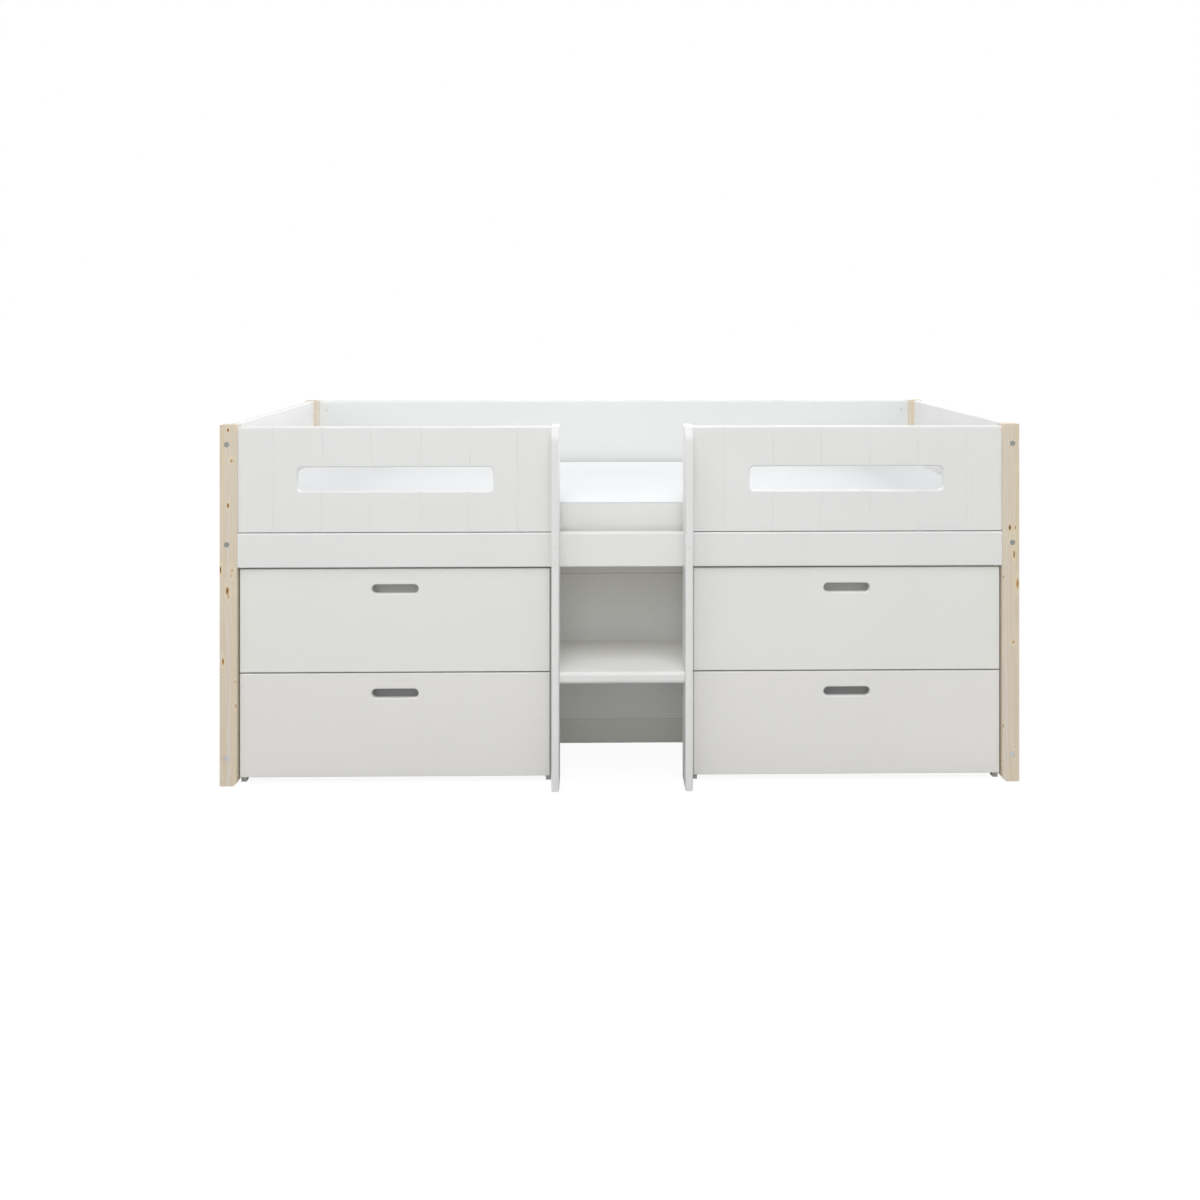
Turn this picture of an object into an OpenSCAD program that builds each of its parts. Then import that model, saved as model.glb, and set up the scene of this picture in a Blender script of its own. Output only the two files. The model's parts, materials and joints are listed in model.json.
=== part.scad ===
// Half-high cabin bed: pine corner posts, white lacquered boards, four drawers in two chests,
// and a short ladder of two notched planks with one deep step between the chests.
// It stands on the floor at z = 0, centred in x and y, with the ladder at the front, towards -y.
// Inside the modules y = 0 is the front face of the posts, and whole() moves that to the centred frame.

/* [Bed frame] */
// Length over the posts
bed_l = 2090; // [2070:10:2290]
// Depth over the posts
bed_d = 990; // [970:10:1190]
// Height of the posts
post_h = 938; // [900:1:1100]
// Side of a square post
post_w = 45; // [42:1:60]
// Radius of a post's long edges
post_ease = 3; // [1:0.5:6]
// Chamfer of a post's inner bottom corner
foot_chamfer = 9; // [5:1:20]

/* [Rails and end boards] */
// Height of the long bed rails
rail_h = 89.5; // [80:0.5:110]
// Thickness of the long bed rails
rail_t = 28; // [24:1:34]
// Underside of the long bed rails above the floor
rail_z = 565.5; // [562:0.5:600]
// Set-back of a rail from the post face
rail_inset = 5; // [2:0.5:10]
// Edge radius of the rails
rail_round = 4; // [1:0.5:10]
// Thickness of the end panels and foot rails
end_t = 20; // [18:1:24]
// Set-back of an end panel from the post's outer face
end_inset = 9; // [5:0.5:14]
// Drop of the end panels below the post tops
end_drop = 1; // [0:1:30]
// Height of the low foot rails at the ends
foot_rail_h = 88; // [60:1:110]
// Underside of the foot rails above the floor
foot_rail_z = 27; // [10:1:60]
// Edge radius of the end panels and foot rails
end_round = 3; // [1:0.5:8]

/* [Guards] */
// Drop of the guards below the post tops
guard_drop = 5; // [0:1:30]
// Drop of the rear guard's top below the posts' tops
rear_guard_drop = 1; // [0:1:30]
// Thickness of the guards
guard_t = 20; // [18:1:26]
// Set-back of the guards from the post face
guard_inset = 9; // [5:0.5:14]
// Gap between the bed rail and the guard above it
guard_gap = 2; // [1:0.5:8]
// Radius of a guard's top edges
guard_round = 6; // [2:0.5:8.5]
// Radius of a guard's bottom edges
guard_foot_round = 2; // [1:0.5:6]
// Number of upright grooves in a front guard
groove_count = 6; // [2:1:8]
// Distance between grooves
groove_pitch = 127.5; // [60:0.5:135]
// Width of a groove at the face
groove_w = 7; // [3:0.5:10]
// Depth of a groove
groove_d = 1.5; // [1:0.5:5]
// Length of the window slot in a front guard
slot_l = 510; // [200:5:600]
// Height of the window slot
slot_h = 63.5; // [40:0.5:110]
// Corner radius of the window slot
slot_r = 12; // [6:1:18]
// Flare of the slot's edges
slot_flare = 3; // [1:0.5:5]

/* [Mattress and slats] */
// Gap between the mattress and an end panel
mattress_end_gap = 16; // [2:0.5:40]
// Gap between the mattress and the ladder planks' rear edges
mattress_side_gap = 2; // [1:0.5:30]
// Thickness of the mattress at the middle of its crown
mattress_h = 129; // [90:1:150]
// Rise of the crown above the top edge
mattress_crown = 6; // [2:1:15]
// How far the top and bottom edges are drawn in
mattress_draw = 11; // [4:1:20]
// Corner radius of the mattress seen from above
mattress_corner = 45; // [25:1:80]
// Number of slats
slat_count = 13; // [8:1:17]
// Width of a slat
slat_w = 70; // [50:1:90]
// Thickness of a slat
slat_t = 18; // [12:1:22]
// Depth of the ledges that carry the slats
ledge_w = 25; // [18:1:40]
// Height of the ledges
ledge_h = 21.5; // [15:0.5:30]

/* [Ladder and niche] */
// Clear width between the planks
ladder_gap = 324; // [280:2:400]
// Thickness of a plank
plank_t = 20; // [18:1:26]
// Reach of the planks in front of the posts
plank_proud = 53; // [40:1:70]
// Reach of the planks behind the post face
plank_back = 45; // [35:1:46]
// Drop of the planks below the post tops
plank_drop = 2; // [0:1:30]
// Radius of a plank's lower end, seen from the front
plank_foot_round = 5; // [2:0.5:8]
// Radius of a plank's front top corner
plank_round = 40; // [10:1:50]
// Radius of a plank's upright edges
plank_ease = 4; // [1:0.5:8]
// Underside of the step above the floor
step_z = 273.5; // [200:0.5:350]
// Thickness of the step
step_t = 30; // [22:1:35]
// Set-back of the step from the planks' front edges
step_setback = 10; // [4:1:25]
// Radius of the step's front edge
step_round = 10; // [3:0.5:10.5]
// Front face of the niche's back, behind the post face
niche_y = 275; // [200:5:400]
// Thickness of the niche's boards
niche_t = 16; // [12:1:22]
// Top of the niche's foot rail above the floor
niche_foot_top = 79.5; // [50:0.5:110]
// Height of the niche's top rail
niche_rail_h = 64; // [40:1:110]

/* [Chests] */
// Space between a drawer box and its chest's back
chest_rear_space = 53.5; // [20:0.5:200]
// Thickness of the chest boards
chest_t = 16; // [15:1:18]
// Thickness of a chest's back
chest_back_t = 4; // [3:0.5:8]
// Gap between a chest and the bed rails above it
chest_rail_gap = 8.5; // [2:0.5:12]
// Gap between a chest and the post beside it
chest_post_gap = 2; // [1.5:0.5:5]
// Gap between a chest and the plank beside it
chest_plank_gap = 3; // [2:0.5:6]
// Height of a glide under a chest
glide_h = 12; // [8:1:15]
// Width of a glide at its top
glide_w = 15; // [10:0.5:16]
// Length of a glide from front to rear
glide_l = 20; // [14:1:30]
// Slope of a glide's sides, from its top to the floor
glide_slope = 1; // [0.5:0.5:4]

/* [Drawers] */
// Thickness of a drawer front
front_t = 18; // [16:1:19]
// Set-back of the drawer fronts from the post face
front_recess = 14.5; // [10:0.5:24]
// Gap between a drawer front and its chest
front_gap = 0.5; // [0.3:0.1:3]
// Gap between a drawer front and the post
front_post_gap = 3.5; // [2:0.5:6]
// Gap between a drawer front and the plank
front_plank_gap = 6.5; // [4:0.5:10]
// Underside of the lower drawer front above the floor
front_z = 17.5; // [14:0.5:22]
// Height of the lower drawer front
lower_front_h = 270; // [250:0.5:272]
// Gap between the two drawer fronts
front_split = 3.5; // [3:0.5:10]
// Gap between the upper drawer front and the bed rail above it
front_rail_gap = 5; // [4:0.5:20]
// Edge radius of a drawer front
front_round = 2; // [1:0.5:6]
// Length of the handle slot
handle_l = 122; // [90:1:160]
// Height of the handle slot
handle_h = 24; // [18:1:30]
// Middle of the handle slot below the front's top edge
handle_drop = 53; // [30:0.5:56]
// Flare of the handle slot's edges
handle_flare = 2.5; // [1:0.5:4]
// Length of a drawer box behind its front
box_l = 500; // [420:5:510]
// Height of a drawer box
box_h = 160; // [100:1:170]
// Thickness of a drawer box's walls
box_t = 12; // [10:1:16]
// Underside of a drawer box above the lower edge of its front
box_rise = 27; // [27:0.5:30]
// Thickness of a drawer's bottom panel
bottom_t = 5; // [3:0.5:6]
// Height of the bottom panel above the box's underside
bottom_rise = 10; // [8:1:20]
// Depth of the groove that holds the bottom panel
bottom_groove = 6; // [4:0.5:8]
// Space for the runners at each side of a box
runner_space = 12.5; // [12:0.5:15]
// Thickness of the runners' sheet steel
runner_sheet = 1.2; // [1:0.1:1.5]
// Height of the channel fixed to the chest
channel_h = 22; // [20:1:24]
// Width of a runner's roller
roller_w = 6; // [4:0.5:6.5]
// Working clearance round a roller
roller_clear = 0.3; // [0.2:0.05:0.5]

/* [Fasteners] */
// Diameter of the connector bolts
bolt_d = 6; // [5:0.5:8]
// Diameter of a bolt's head
bolt_head_d = 14; // [12:0.5:15]
// Height of a bolt's head
bolt_head_h = 3; // [2:0.5:5]
// Depth of a head's seat below the post's face
head_seat = 5; // [4:0.5:9]
// Diameter of a barrel nut
nut_d = 10; // [9:0.5:12]
// Length of a barrel nut
nut_l = 14; // [12:0.5:15]
// Distance of a barrel nut from the end of its board
nut_inset = 23; // [18:1:30]
// Reach of a bolt past the middle of its nut
bolt_past = 6; // [5.5:0.5:9]
// Distance of a guard's bolts from its edges
guard_bolt_edge = 28; // [20:1:60]
// Distance of a rail's bolts from its middle
rail_bolt_offset = 28.5; // [26:0.5:32]
// Distance of an end panel's upper bolt below its top
end_bolt_drop = 50; // [47:1:57]
// Distance of an end panel's lower bolt above its underside
end_bolt_rise = 61.5; // [50:0.5:63]
// Diameter of a ladder screw's shank
screw_d = 5; // [4:0.5:6]
// Diameter of a ladder screw's head
screw_head_d = 9; // [8:0.5:10]
// Length of a ladder screw's shank
screw_l = 68; // [60:1:72]
// Depth of a screw's seat in a plank's front edge
screw_seat = 12; // [8:1:14]
// Thickness of the plug over a screw
plug_t = 4; // [2:0.5:6]
// Lower screw above the rail's underside
screw_low = 20; // [14:1:24]
// Upper screw above the rail's underside
screw_high = 61; // [45:1:66]
// Diameter of a guard dowel
dowel_d = 8; // [6:1:10]
// Length of a guard dowel
dowel_l = 38; // [30:1:50]

/* [Hidden] */
$fn = 48;
// Play of a fastener in its hole, measured on the radius
play = 0.2;
// Overshoot of a cutting shape past the face that it cuts
over = 1;
// Gap kept round a soft piece and at a notch
seat_gap = 0.3;
// Gap between a slat's end and the bed rail
slat_end_gap = 1;
// Facets of one corner of the mattress and rings up its side
mattress_corner_steps = 9;
mattress_side_steps = 8;

pine = "burlywood";
white = "whitesmoke";
steel = "silver";
plastic = "gray";

half_l = bed_l / 2;
inner_x = half_l - post_w;
whole_shift = -(bed_d - plank_proud) / 2;

rail_mid_z = rail_z + rail_h / 2;
rail_top = rail_z + rail_h;
rail_back = rail_inset + rail_t;
end_mid_x = half_l - end_inset - end_t / 2;
end_inner_x = half_l - end_inset - end_t;
end_top = post_h - end_drop;
end_span = bed_d - 2 * post_w;
guard_z = rail_top + guard_gap;
guard_top = post_h - guard_drop;
guard_h = guard_top - guard_z;
guard_mid_y = guard_inset + guard_t / 2;
rail_mid_y = rail_inset + rail_t / 2;
plank_inner = ladder_gap / 2;
plank_outer = plank_inner + plank_t;
plank_mid_x = plank_inner + plank_t / 2;
plank_top = post_h - plank_drop;
plank_depth = plank_proud + plank_back;
guard_l = inner_x - plank_outer;
guard_mid_x = (inner_x + plank_outer) / 2;

guard_bolt_z = [guard_top - guard_bolt_edge, guard_z + guard_bolt_edge];
rail_bolt_z = [rail_mid_z - rail_bolt_offset, rail_mid_z + rail_bolt_offset];
end_bolt_z = [end_top - end_bolt_drop, rail_z + end_bolt_rise];
foot_bolt_z = foot_rail_z + foot_rail_h / 2;
bolt_l = post_w - head_seat + nut_inset + bolt_past;
plank_seat = head_seat;
plank_bolt_l = plank_t - plank_seat + nut_inset + bolt_past;
hole_d = bolt_d + 4 * play;
screw_z = [rail_z + screw_low, rail_z + screw_high];
step_mid_z = step_z + step_t / 2;
step_front = -plank_proud + step_setback;
step_screw_y = [step_front + plank_depth / 4, plank_back - plank_depth / 5];
step_screw_seat = 4;

slat_z = rail_z + ledge_h;
mattress_z = slat_z + slat_t + seat_gap;
mattress_y = plank_back + mattress_side_gap;
mattress_w = bed_d - 2 * mattress_y;
mattress_l = 2 * (end_inner_x - mattress_end_gap);

chest_y = front_recess + front_t + front_gap;
chest_outer = inner_x - chest_post_gap;
chest_inner = plank_outer + chest_plank_gap;
chest_w = chest_outer - chest_inner;
chest_bay = chest_w - 2 * chest_t;
chest_rear = chest_y - front_gap + box_l + chest_rear_space + chest_back_t;
chest_d = chest_rear - chest_y;
chest_top = rail_z - chest_rail_gap;
chest_h = chest_top - glide_h;
niche_rail_z = chest_top - niche_rail_h;

front_outer = inner_x - front_post_gap;
front_inner = plank_outer + front_plank_gap;
front_w = front_outer - front_inner;
front_mid_x = (front_outer + front_inner) / 2;
upper_front_z = front_z + lower_front_h + front_split;
upper_front_h = rail_z - front_rail_gap - upper_front_z;
box_w = chest_bay - 2 * runner_space;
box_outer = chest_outer - chest_t - runner_space;
box_inner = box_outer - box_w;
box_y = chest_y - front_gap;
roller_d = channel_h - 2 * runner_sheet - 2 * roller_clear;
channel_rise = 1;
channel_gap = 3.5;
channel_reach = runner_space - channel_gap;
front_roller_d = 20;
front_roller_set = 18;
front_roller_y = chest_y + front_roller_set;
channel_start_gap = 4;
channel_start = front_roller_y + front_roller_d / 2 + channel_start_gap;
channel_end_gap = 12;
channel_end = chest_rear - channel_end_gap;
rear_roller_set = 14;
rear_roller_y = box_y + box_l - rear_roller_set;
pin_d = 5;
// Gap between a roller and the sheet that its pin stands on, and the pin's reach past the roller
roller_stand = 1;
// Rise of a drawer's lip above the chest's channel
lip_gap = 4;
lip_rise = channel_h + lip_gap;
// Shortening of a drawer's rail at each end of its box
rail_shorten = 1;
// Height of a wood screw's head and width of a bolt's hexagon socket
screw_head_h = 2;
socket_d = 5;
// Depth of wood left outside a dowel in a plank
dowel_cover = 7;

// Moves a piece drawn from the post face into the centred frame.
module whole() {
    translate([0, whole_shift, 0]) children();
}

// Turns a piece drawn at the left (side -1) into its twin at the right (side 1).
module at_side(side) {
    if (side < 0) children();
    else mirror([1, 0, 0]) children();
}

// Turns a piece drawn at the front into its twin at the rear.
module at_rear() {
    translate([0, bed_d, 0]) mirror([0, 1, 0]) children();
}

// Rectangle with round corners, its lowest corner at the origin. At a radius of half its height it has round ends.
module rounded_rect(w, h, r) {
    translate([r, 0]) square([w - 2 * r, h]);
    if (h > 2 * r) translate([0, r]) square([w, h - 2 * r]);
    for (x = [r, w - r], y = h > 2 * r ? [r, h - r] : [r]) translate([x, y]) circle(r);
}

// Bar along x with rounded long edges.
module bar_x(length, depth, height, r) {
    rotate([90, 0, 90]) linear_extrude(length) rounded_rect(depth, height, r);
}

// Bar along y with rounded long edges.
module bar_y(length, width, height, r) {
    translate([0, length, 0]) rotate([90, 0, 0]) linear_extrude(length) rounded_rect(width, height, r);
}

// Board facing y with all the edges of both faces rounded.
module face_board(width, depth, height, r) {
    intersection() {
        bar_x(width, depth, height, r);
        linear_extrude(height) rounded_rect(width, depth, r);
    }
}

// Drilling along +x, +y or -y from a face, started a little outside it.
module drill_x(d, depth) {
    translate([-over, 0, 0]) rotate([0, 90, 0]) cylinder(d = d, h = depth + over);
}

module drill_y(d, depth) {
    translate([0, -over, 0]) rotate([-90, 0, 0]) cylinder(d = d, h = depth + over);
}

// Slot through a board that faces y, with flared edges on both faces. It is centred on x and z.
module flared_slot(length, height, r, depth, flare) {
    rotate([-90, 0, 0]) {
        translate([-length / 2, -height / 2, -over])
            linear_extrude(depth + 2 * over) rounded_rect(length, height, r);
        slot_mouth(length, height, r, flare);
        translate([0, 0, depth]) mirror([0, 0, 1]) slot_mouth(length, height, r, flare);
    }
}

// Flared mouth: a cone at each corner, joined by wedges along the straight sides.
module slot_mouth(length, height, r, flare) {
    grow = flare + over;
    straight_x = length - 2 * r;
    straight_y = height - 2 * r;
    for (x = [-1, 1], y = straight_y > 0 ? [-1, 1] : [0])
        translate([x * straight_x / 2, y * straight_y / 2, -over]) cylinder(r1 = r + grow, r2 = r, h = grow);
    translate([-straight_x / 2, 0, 0]) rotate([90, 0, 90]) linear_extrude(straight_x)
        mouth_wedge(height / 2, grow, flare);
    if (straight_y > 0)
        translate([0, straight_y / 2, 0]) rotate([90, 0, 0]) linear_extrude(straight_y)
            mouth_wedge(length / 2, grow, flare);
}

module mouth_wedge(half, grow, flare) {
    polygon([[-half - grow, -over], [half + grow, -over], [half, flare], [-half, flare]]);
}

// Corner post, drawn at the front left, with counterbored bolt holes in both directions.
module post_blank() {
    ease = post_ease / 2;
    intersection() {
        linear_extrude(post_h) rounded_rect(post_w, post_w, post_ease);
        translate([0, post_w, 0]) rotate([90, 0, 0]) linear_extrude(post_w) polygon([
            [0, 0], [post_w - foot_chamfer, 0], [post_w, foot_chamfer],
            [post_w, post_h - ease], [post_w - ease, post_h], [ease, post_h], [0, post_h - ease]
        ]);
    }
}

module corner_post() {
    color(pine) difference() {
        translate([-half_l, 0, 0]) post_blank();
        for (z = concat(end_bolt_z, [foot_bolt_z])) translate([-end_mid_x, 0, z]) {
            drill_y(hole_d, post_w + over);
            drill_y(bolt_head_d + 2 * play, head_seat);
        }
        for (z = guard_bolt_z) translate([-half_l, guard_mid_y, z]) post_bore_x();
        for (z = rail_bolt_z) translate([-half_l, rail_mid_y, z]) post_bore_x();
    }
}

module post_bore_x() {
    drill_x(hole_d, post_w + over);
    drill_x(bolt_head_d + 2 * play, head_seat);
}

module front_left_post() whole() corner_post();
module front_right_post() whole() at_side(1) corner_post();
module rear_left_post() whole() at_rear() corner_post();
module rear_right_post() whole() at_rear() at_side(1) corner_post();

// Holes in a long board's left end: one along x for the bolt, one from its inner face for the barrel nut.
module end_holes_x(depth) {
    drill_x(hole_d, nut_inset + bolt_past + 2 * play);
    translate([nut_inset, depth / 2, 0]) rotate([180, 0, 0])
        drill_y(nut_d + 2 * play, (depth + nut_l) / 2 + play);
}

// Long bed rail, drawn at the front, between the posts.
module bed_rail() {
    difference() {
        translate([-inner_x, rail_inset, rail_z]) bar_x(2 * inner_x, rail_t, rail_h, rail_round);
        for (side = [-1, 1], z = rail_bolt_z)
            at_side(side) translate([-inner_x, rail_mid_y, z]) end_holes_x(rail_t);
    }
}

module front_bed_rail() whole() color(white) difference() {
    bed_rail();
    for (x = [-plank_mid_x, plank_mid_x], z = screw_z)
        translate([x, rail_inset, z])
            drill_y(screw_d + 2 * play, screw_l - (plank_proud + rail_inset - screw_seat) + play);
}

module rear_bed_rail() whole() at_rear() color(white) bed_rail();

// Holes in the front end of an end board: one along y for the bolt, one from its inner face for the nut.
module end_holes_y(width) {
    drill_y(hole_d, nut_inset + bolt_past + 2 * play);
    translate([width / 2, nut_inset, 0]) rotate([0, 0, 180])
        drill_x(nut_d + 2 * play, (width + nut_l) / 2 + play);
}

// Board across the end of the bed, drawn at the left, with bolts at the given heights.
module end_board(z_low, z_high, bolt_z) {
    color(white) difference() {
        translate([-half_l + end_inset, post_w, z_low]) bar_y(end_span, end_t, z_high - z_low, end_round);
        for (z = bolt_z) {
            translate([-end_mid_x, post_w, z]) end_holes_y(end_t);
            at_rear() translate([-end_mid_x, post_w, z]) end_holes_y(end_t);
        }
    }
}

module left_end_panel() whole() end_board(rail_z, end_top, end_bolt_z);
module right_end_panel() whole() at_side(1) end_board(rail_z, end_top, end_bolt_z);
module left_foot_rail() whole() end_board(foot_rail_z, foot_rail_z + foot_rail_h, [foot_bolt_z]);
module right_foot_rail() whole() at_side(1) end_board(foot_rail_z, foot_rail_z + foot_rail_h, [foot_bolt_z]);

// One upright V groove in a front face.
module groove() {
    half = groove_w / 2 * (1 + over / groove_d);
    translate([0, 0, -over]) linear_extrude(guard_h + 2 * over)
        polygon([[-half, -over], [half, -over], [0, groove_d]]);
}

// Front guard, drawn at the left, between the post and the ladder plank.
// Guard board, rounded more along its top than along its bottom.
module guard_board(length, height) {
    translate([-inner_x, guard_inset, guard_z]) rotate([90, 0, 90]) linear_extrude(length) {
        rounded_rect(guard_t, height, guard_round);
        rounded_rect(guard_t, height / 2, guard_foot_round);
    }
}

module front_guard() {
    color(white) difference() {
        guard_board(guard_l, guard_h);
        for (i = [0:groove_count - 1])
            translate([-guard_mid_x + (i - (groove_count - 1) / 2) * groove_pitch, guard_inset, guard_z]) groove();
        translate([-guard_mid_x, guard_inset, guard_z + guard_h / 2])
            flared_slot(slot_l, slot_h, slot_r, guard_t, slot_flare);
        for (z = guard_bolt_z) translate([-inner_x, guard_mid_y, z]) end_holes_x(guard_t);
        translate([-plank_outer, guard_mid_y, guard_bolt_z[0]]) mirror([1, 0, 0]) end_holes_x(guard_t);
        translate([-plank_outer, guard_mid_y, guard_bolt_z[1]]) mirror([1, 0, 0])
            drill_x(dowel_d + 2 * play, dowel_l - dowel_in_plank() + play);
    }
}

module left_guard() whole() front_guard();
module right_guard() whole() at_side(1) front_guard();

module rear_guard() whole() at_rear() color(white) difference() {
    guard_board(2 * inner_x, post_h - rear_guard_drop - guard_z);
    for (side = [-1, 1], z = guard_bolt_z)
        at_side(side) translate([-inner_x, guard_mid_y, z]) end_holes_x(guard_t);
}

// Ledges along the inside of both bed rails.
module slat_ledges() whole() color(pine) {
    translate([-inner_x, rail_back, rail_z]) cube([2 * inner_x, ledge_w, ledge_h]);
    at_rear() translate([-inner_x, rail_back, rail_z]) cube([2 * inner_x, ledge_w, ledge_h]);
}

// Slats from ledge to ledge, spread evenly along the bed.
module slats() whole() color(pine) {
    slat_l = bed_d - 2 * rail_back - 2 * slat_end_gap;
    pitch = (2 * inner_x - slat_w) / slat_count;
    for (i = [0:slat_count - 1])
        translate([(i - (slat_count - 1) / 2) * pitch - slat_w / 2, rail_back + slat_end_gap, slat_z])
            bar_y(slat_l, slat_w, slat_t, slat_t / 6);
}

// Outline of the mattress from above, drawn in by an inset and scaled towards its middle.
function mattress_ring(inset, scale_by, z) = [
    for (corner = [0:3], k = [0:mattress_corner_steps])
        let (
            turn = 90 * corner + 90 * k / mattress_corner_steps,
            sx = (corner == 0 || corner == 3) ? 1 : -1,
            sy = corner < 2 ? 1 : -1,
            cx = sx * (mattress_l / 2 - mattress_corner),
            cy = sy * (mattress_w / 2 - mattress_corner),
            r = mattress_corner - inset
        )
        [(cx + r * cos(turn)) * scale_by, (cy + r * sin(turn)) * scale_by, z]
];

// Inset of the side at height t, from 0 at the bottom edge to 1 at the top edge.
function side_inset(t) = mattress_draw * pow(abs(2 * t - 1), 4);

// Crowned mattress: rings up the side, then rings that close over the crown, and a flat underside.
module mattress() {
    edge_z = mattress_h - mattress_crown;
    cap_scales = [0.985, 0.95, 0.85, 0.68, 0.45, 0.22];
    side_rings = [
        for (k = [0:mattress_side_steps])
            let (t = k / mattress_side_steps)
            mattress_ring(side_inset(t), 1, edge_z * (1 - cos(180 * t)) / 2)
    ];
    cap_rings = [
        for (s = cap_scales) mattress_ring(mattress_draw, s, edge_z + mattress_crown * (1 - pow(s, 4)))
    ];
    rings = concat(side_rings, cap_rings);
    n = len(rings[0]);
    last = len(rings) - 1;
    points = concat([for (ring = rings, p = ring) p], [[0, 0, mattress_h], [0, 0, 0]]);
    top_point = n * (last + 1);
    faces = concat(
        [for (j = [0:last - 1], i = [0:n - 1]) [j * n + i, (j + 1) * n + i, (j + 1) * n + (i + 1) % n]],
        [for (j = [0:last - 1], i = [0:n - 1]) [j * n + i, (j + 1) * n + (i + 1) % n, j * n + (i + 1) % n]],
        [for (i = [0:n - 1]) [last * n + i, top_point, last * n + (i + 1) % n]],
        [for (i = [0:n - 1]) [i, (i + 1) % n, top_point + 1]]
    );
    whole() color(white) translate([0, mattress_y + mattress_w / 2, mattress_z]) polyhedron(points, faces);
}

function dowel_in_plank() = plank_t - dowel_cover;

// Side outline of a ladder plank: rounded front top corner, and a notch that clears the bed rail.
module plank_outline() {
    difference() {
        union() {
            square([plank_depth, plank_top - plank_round]);
            translate([plank_round, 0]) square([plank_depth - plank_round, plank_top]);
            translate([plank_round, plank_top - plank_round]) circle(plank_round, $fn = 96);
        }
        translate([plank_proud + rail_inset, rail_z - seat_gap])
            square([plank_depth, rail_h + 2 * seat_gap]);
    }
}

// Ladder plank, drawn at the left, with its bolt, dowel and screw holes.
module ladder_plank() {
    color(white) difference() {
        intersection() {
            translate([-plank_outer, -plank_proud, 0]) rotate([90, 0, 90]) linear_extrude(plank_t) plank_outline();
            translate([-plank_outer, -plank_proud, 0]) linear_extrude(plank_top)
                rounded_rect(plank_t, plank_depth, plank_ease);
            translate([-plank_outer, plank_back, 0]) rotate([90, 0, 0]) linear_extrude(plank_depth)
                rounded_rect(plank_t, plank_top + plank_foot_round, plank_foot_round);
        }
        translate([-plank_inner, guard_mid_y, guard_bolt_z[0]]) mirror([1, 0, 0]) {
            drill_x(hole_d, plank_t + over);
            drill_x(bolt_head_d + 2 * play, plank_seat);
        }
        translate([-plank_outer, guard_mid_y, guard_bolt_z[1]]) drill_x(dowel_d + 2 * play, dowel_in_plank());
        for (z = screw_z) translate([-plank_mid_x, -plank_proud, z]) {
            drill_y(screw_d + 2 * play, plank_depth);
            drill_y(screw_head_d + 2 * play, screw_seat);
        }
        for (y = step_screw_y) translate([-plank_outer, y, step_mid_z]) {
            drill_x(screw_d + 2 * play, plank_t + over);
            drill_x(screw_head_d + 2 * play, step_screw_seat);
        }
    }
}

module left_ladder_plank() whole() ladder_plank();
module right_ladder_plank() whole() at_side(1) ladder_plank();

// Deep step between the planks. Behind them it widens to the chests, and it ends at the niche's back.
module ladder_step() {
    depth = niche_y - step_front;
    width = ladder_gap - 2 * seat_gap;
    wide = 2 * (chest_inner - seat_gap);
    wide_y = plank_back + seat_gap;
    whole() color(white) difference() {
        union() {
            translate([-width / 2, step_front, step_z]) {
                bar_x(width, depth / 2, step_t, step_round);
                translate([0, depth / 4, 0]) cube([width, depth * 3 / 4, step_t]);
            }
            translate([-wide / 2, wide_y, step_z]) cube([wide, niche_y - wide_y, step_t]);
        }
        for (side = [-1, 1], y = step_screw_y)
            at_side(side) translate([-width / 2, y, step_mid_z])
                drill_x(screw_d + 2 * play, screw_l - (plank_t - step_screw_seat));
    }
}

// Board across the niche from chest to chest.
module niche_board(z_low, z_high) {
    whole() color(white) translate([-chest_inner, niche_y, z_low]) cube([2 * chest_inner, niche_t, z_high - z_low]);
}

module niche_foot_rail() niche_board(glide_h, niche_foot_top);
module niche_back() niche_board(niche_foot_top, niche_rail_z);
module niche_top_rail() niche_board(niche_rail_z, chest_top);

// Upright side board of a chest, drawn at the left, from its outer or lesser x.
module chest_side(x) {
    color(white) translate([x, chest_y, glide_h]) cube([chest_t, chest_d - chest_back_t, chest_h]);
}

// Level board of a chest between its sides, drawn at the left.
module chest_shelf(z) {
    color(white) translate([-chest_outer + chest_t, chest_y, z])
        cube([chest_bay, chest_d - chest_back_t, chest_t]);
}

module chest_back() {
    color(white) translate([-chest_outer, chest_rear - chest_back_t, glide_h]) cube([chest_w, chest_back_t, chest_h]);
}

module left_chest_outer_side() whole() chest_side(-chest_outer);
module left_chest_inner_side() whole() chest_side(-chest_inner - chest_t);
module left_chest_top() whole() chest_shelf(chest_top - chest_t);
module left_chest_base() whole() chest_shelf(glide_h);
module left_chest_back() whole() chest_back();
module right_chest_outer_side() whole() at_side(1) chest_side(-chest_outer);
module right_chest_inner_side() whole() at_side(1) chest_side(-chest_inner - chest_t);
module right_chest_top() whole() at_side(1) chest_shelf(chest_top - chest_t);
module right_chest_base() whole() at_side(1) chest_shelf(glide_h);
module right_chest_back() whole() at_side(1) chest_back();

// Block glides under the four corners of both chests.
module chest_glides() whole() color(plastic)
    for (side = [-1, 1], x = [chest_outer - glide_w / 2, chest_inner + glide_w / 2])
        for (y = [chest_y, chest_rear - glide_l])
            translate([side * x, y + glide_l, 0]) rotate([90, 0, 0]) linear_extrude(glide_l) polygon([
                [glide_slope - glide_w / 2, 0], [glide_w / 2 - glide_slope, 0],
                [glide_w / 2, glide_h], [-glide_w / 2, glide_h]
            ]);

function drawer_z(upper) = (upper ? upper_front_z : front_z);
function front_height(upper) = (upper ? upper_front_h : lower_front_h);

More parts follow.
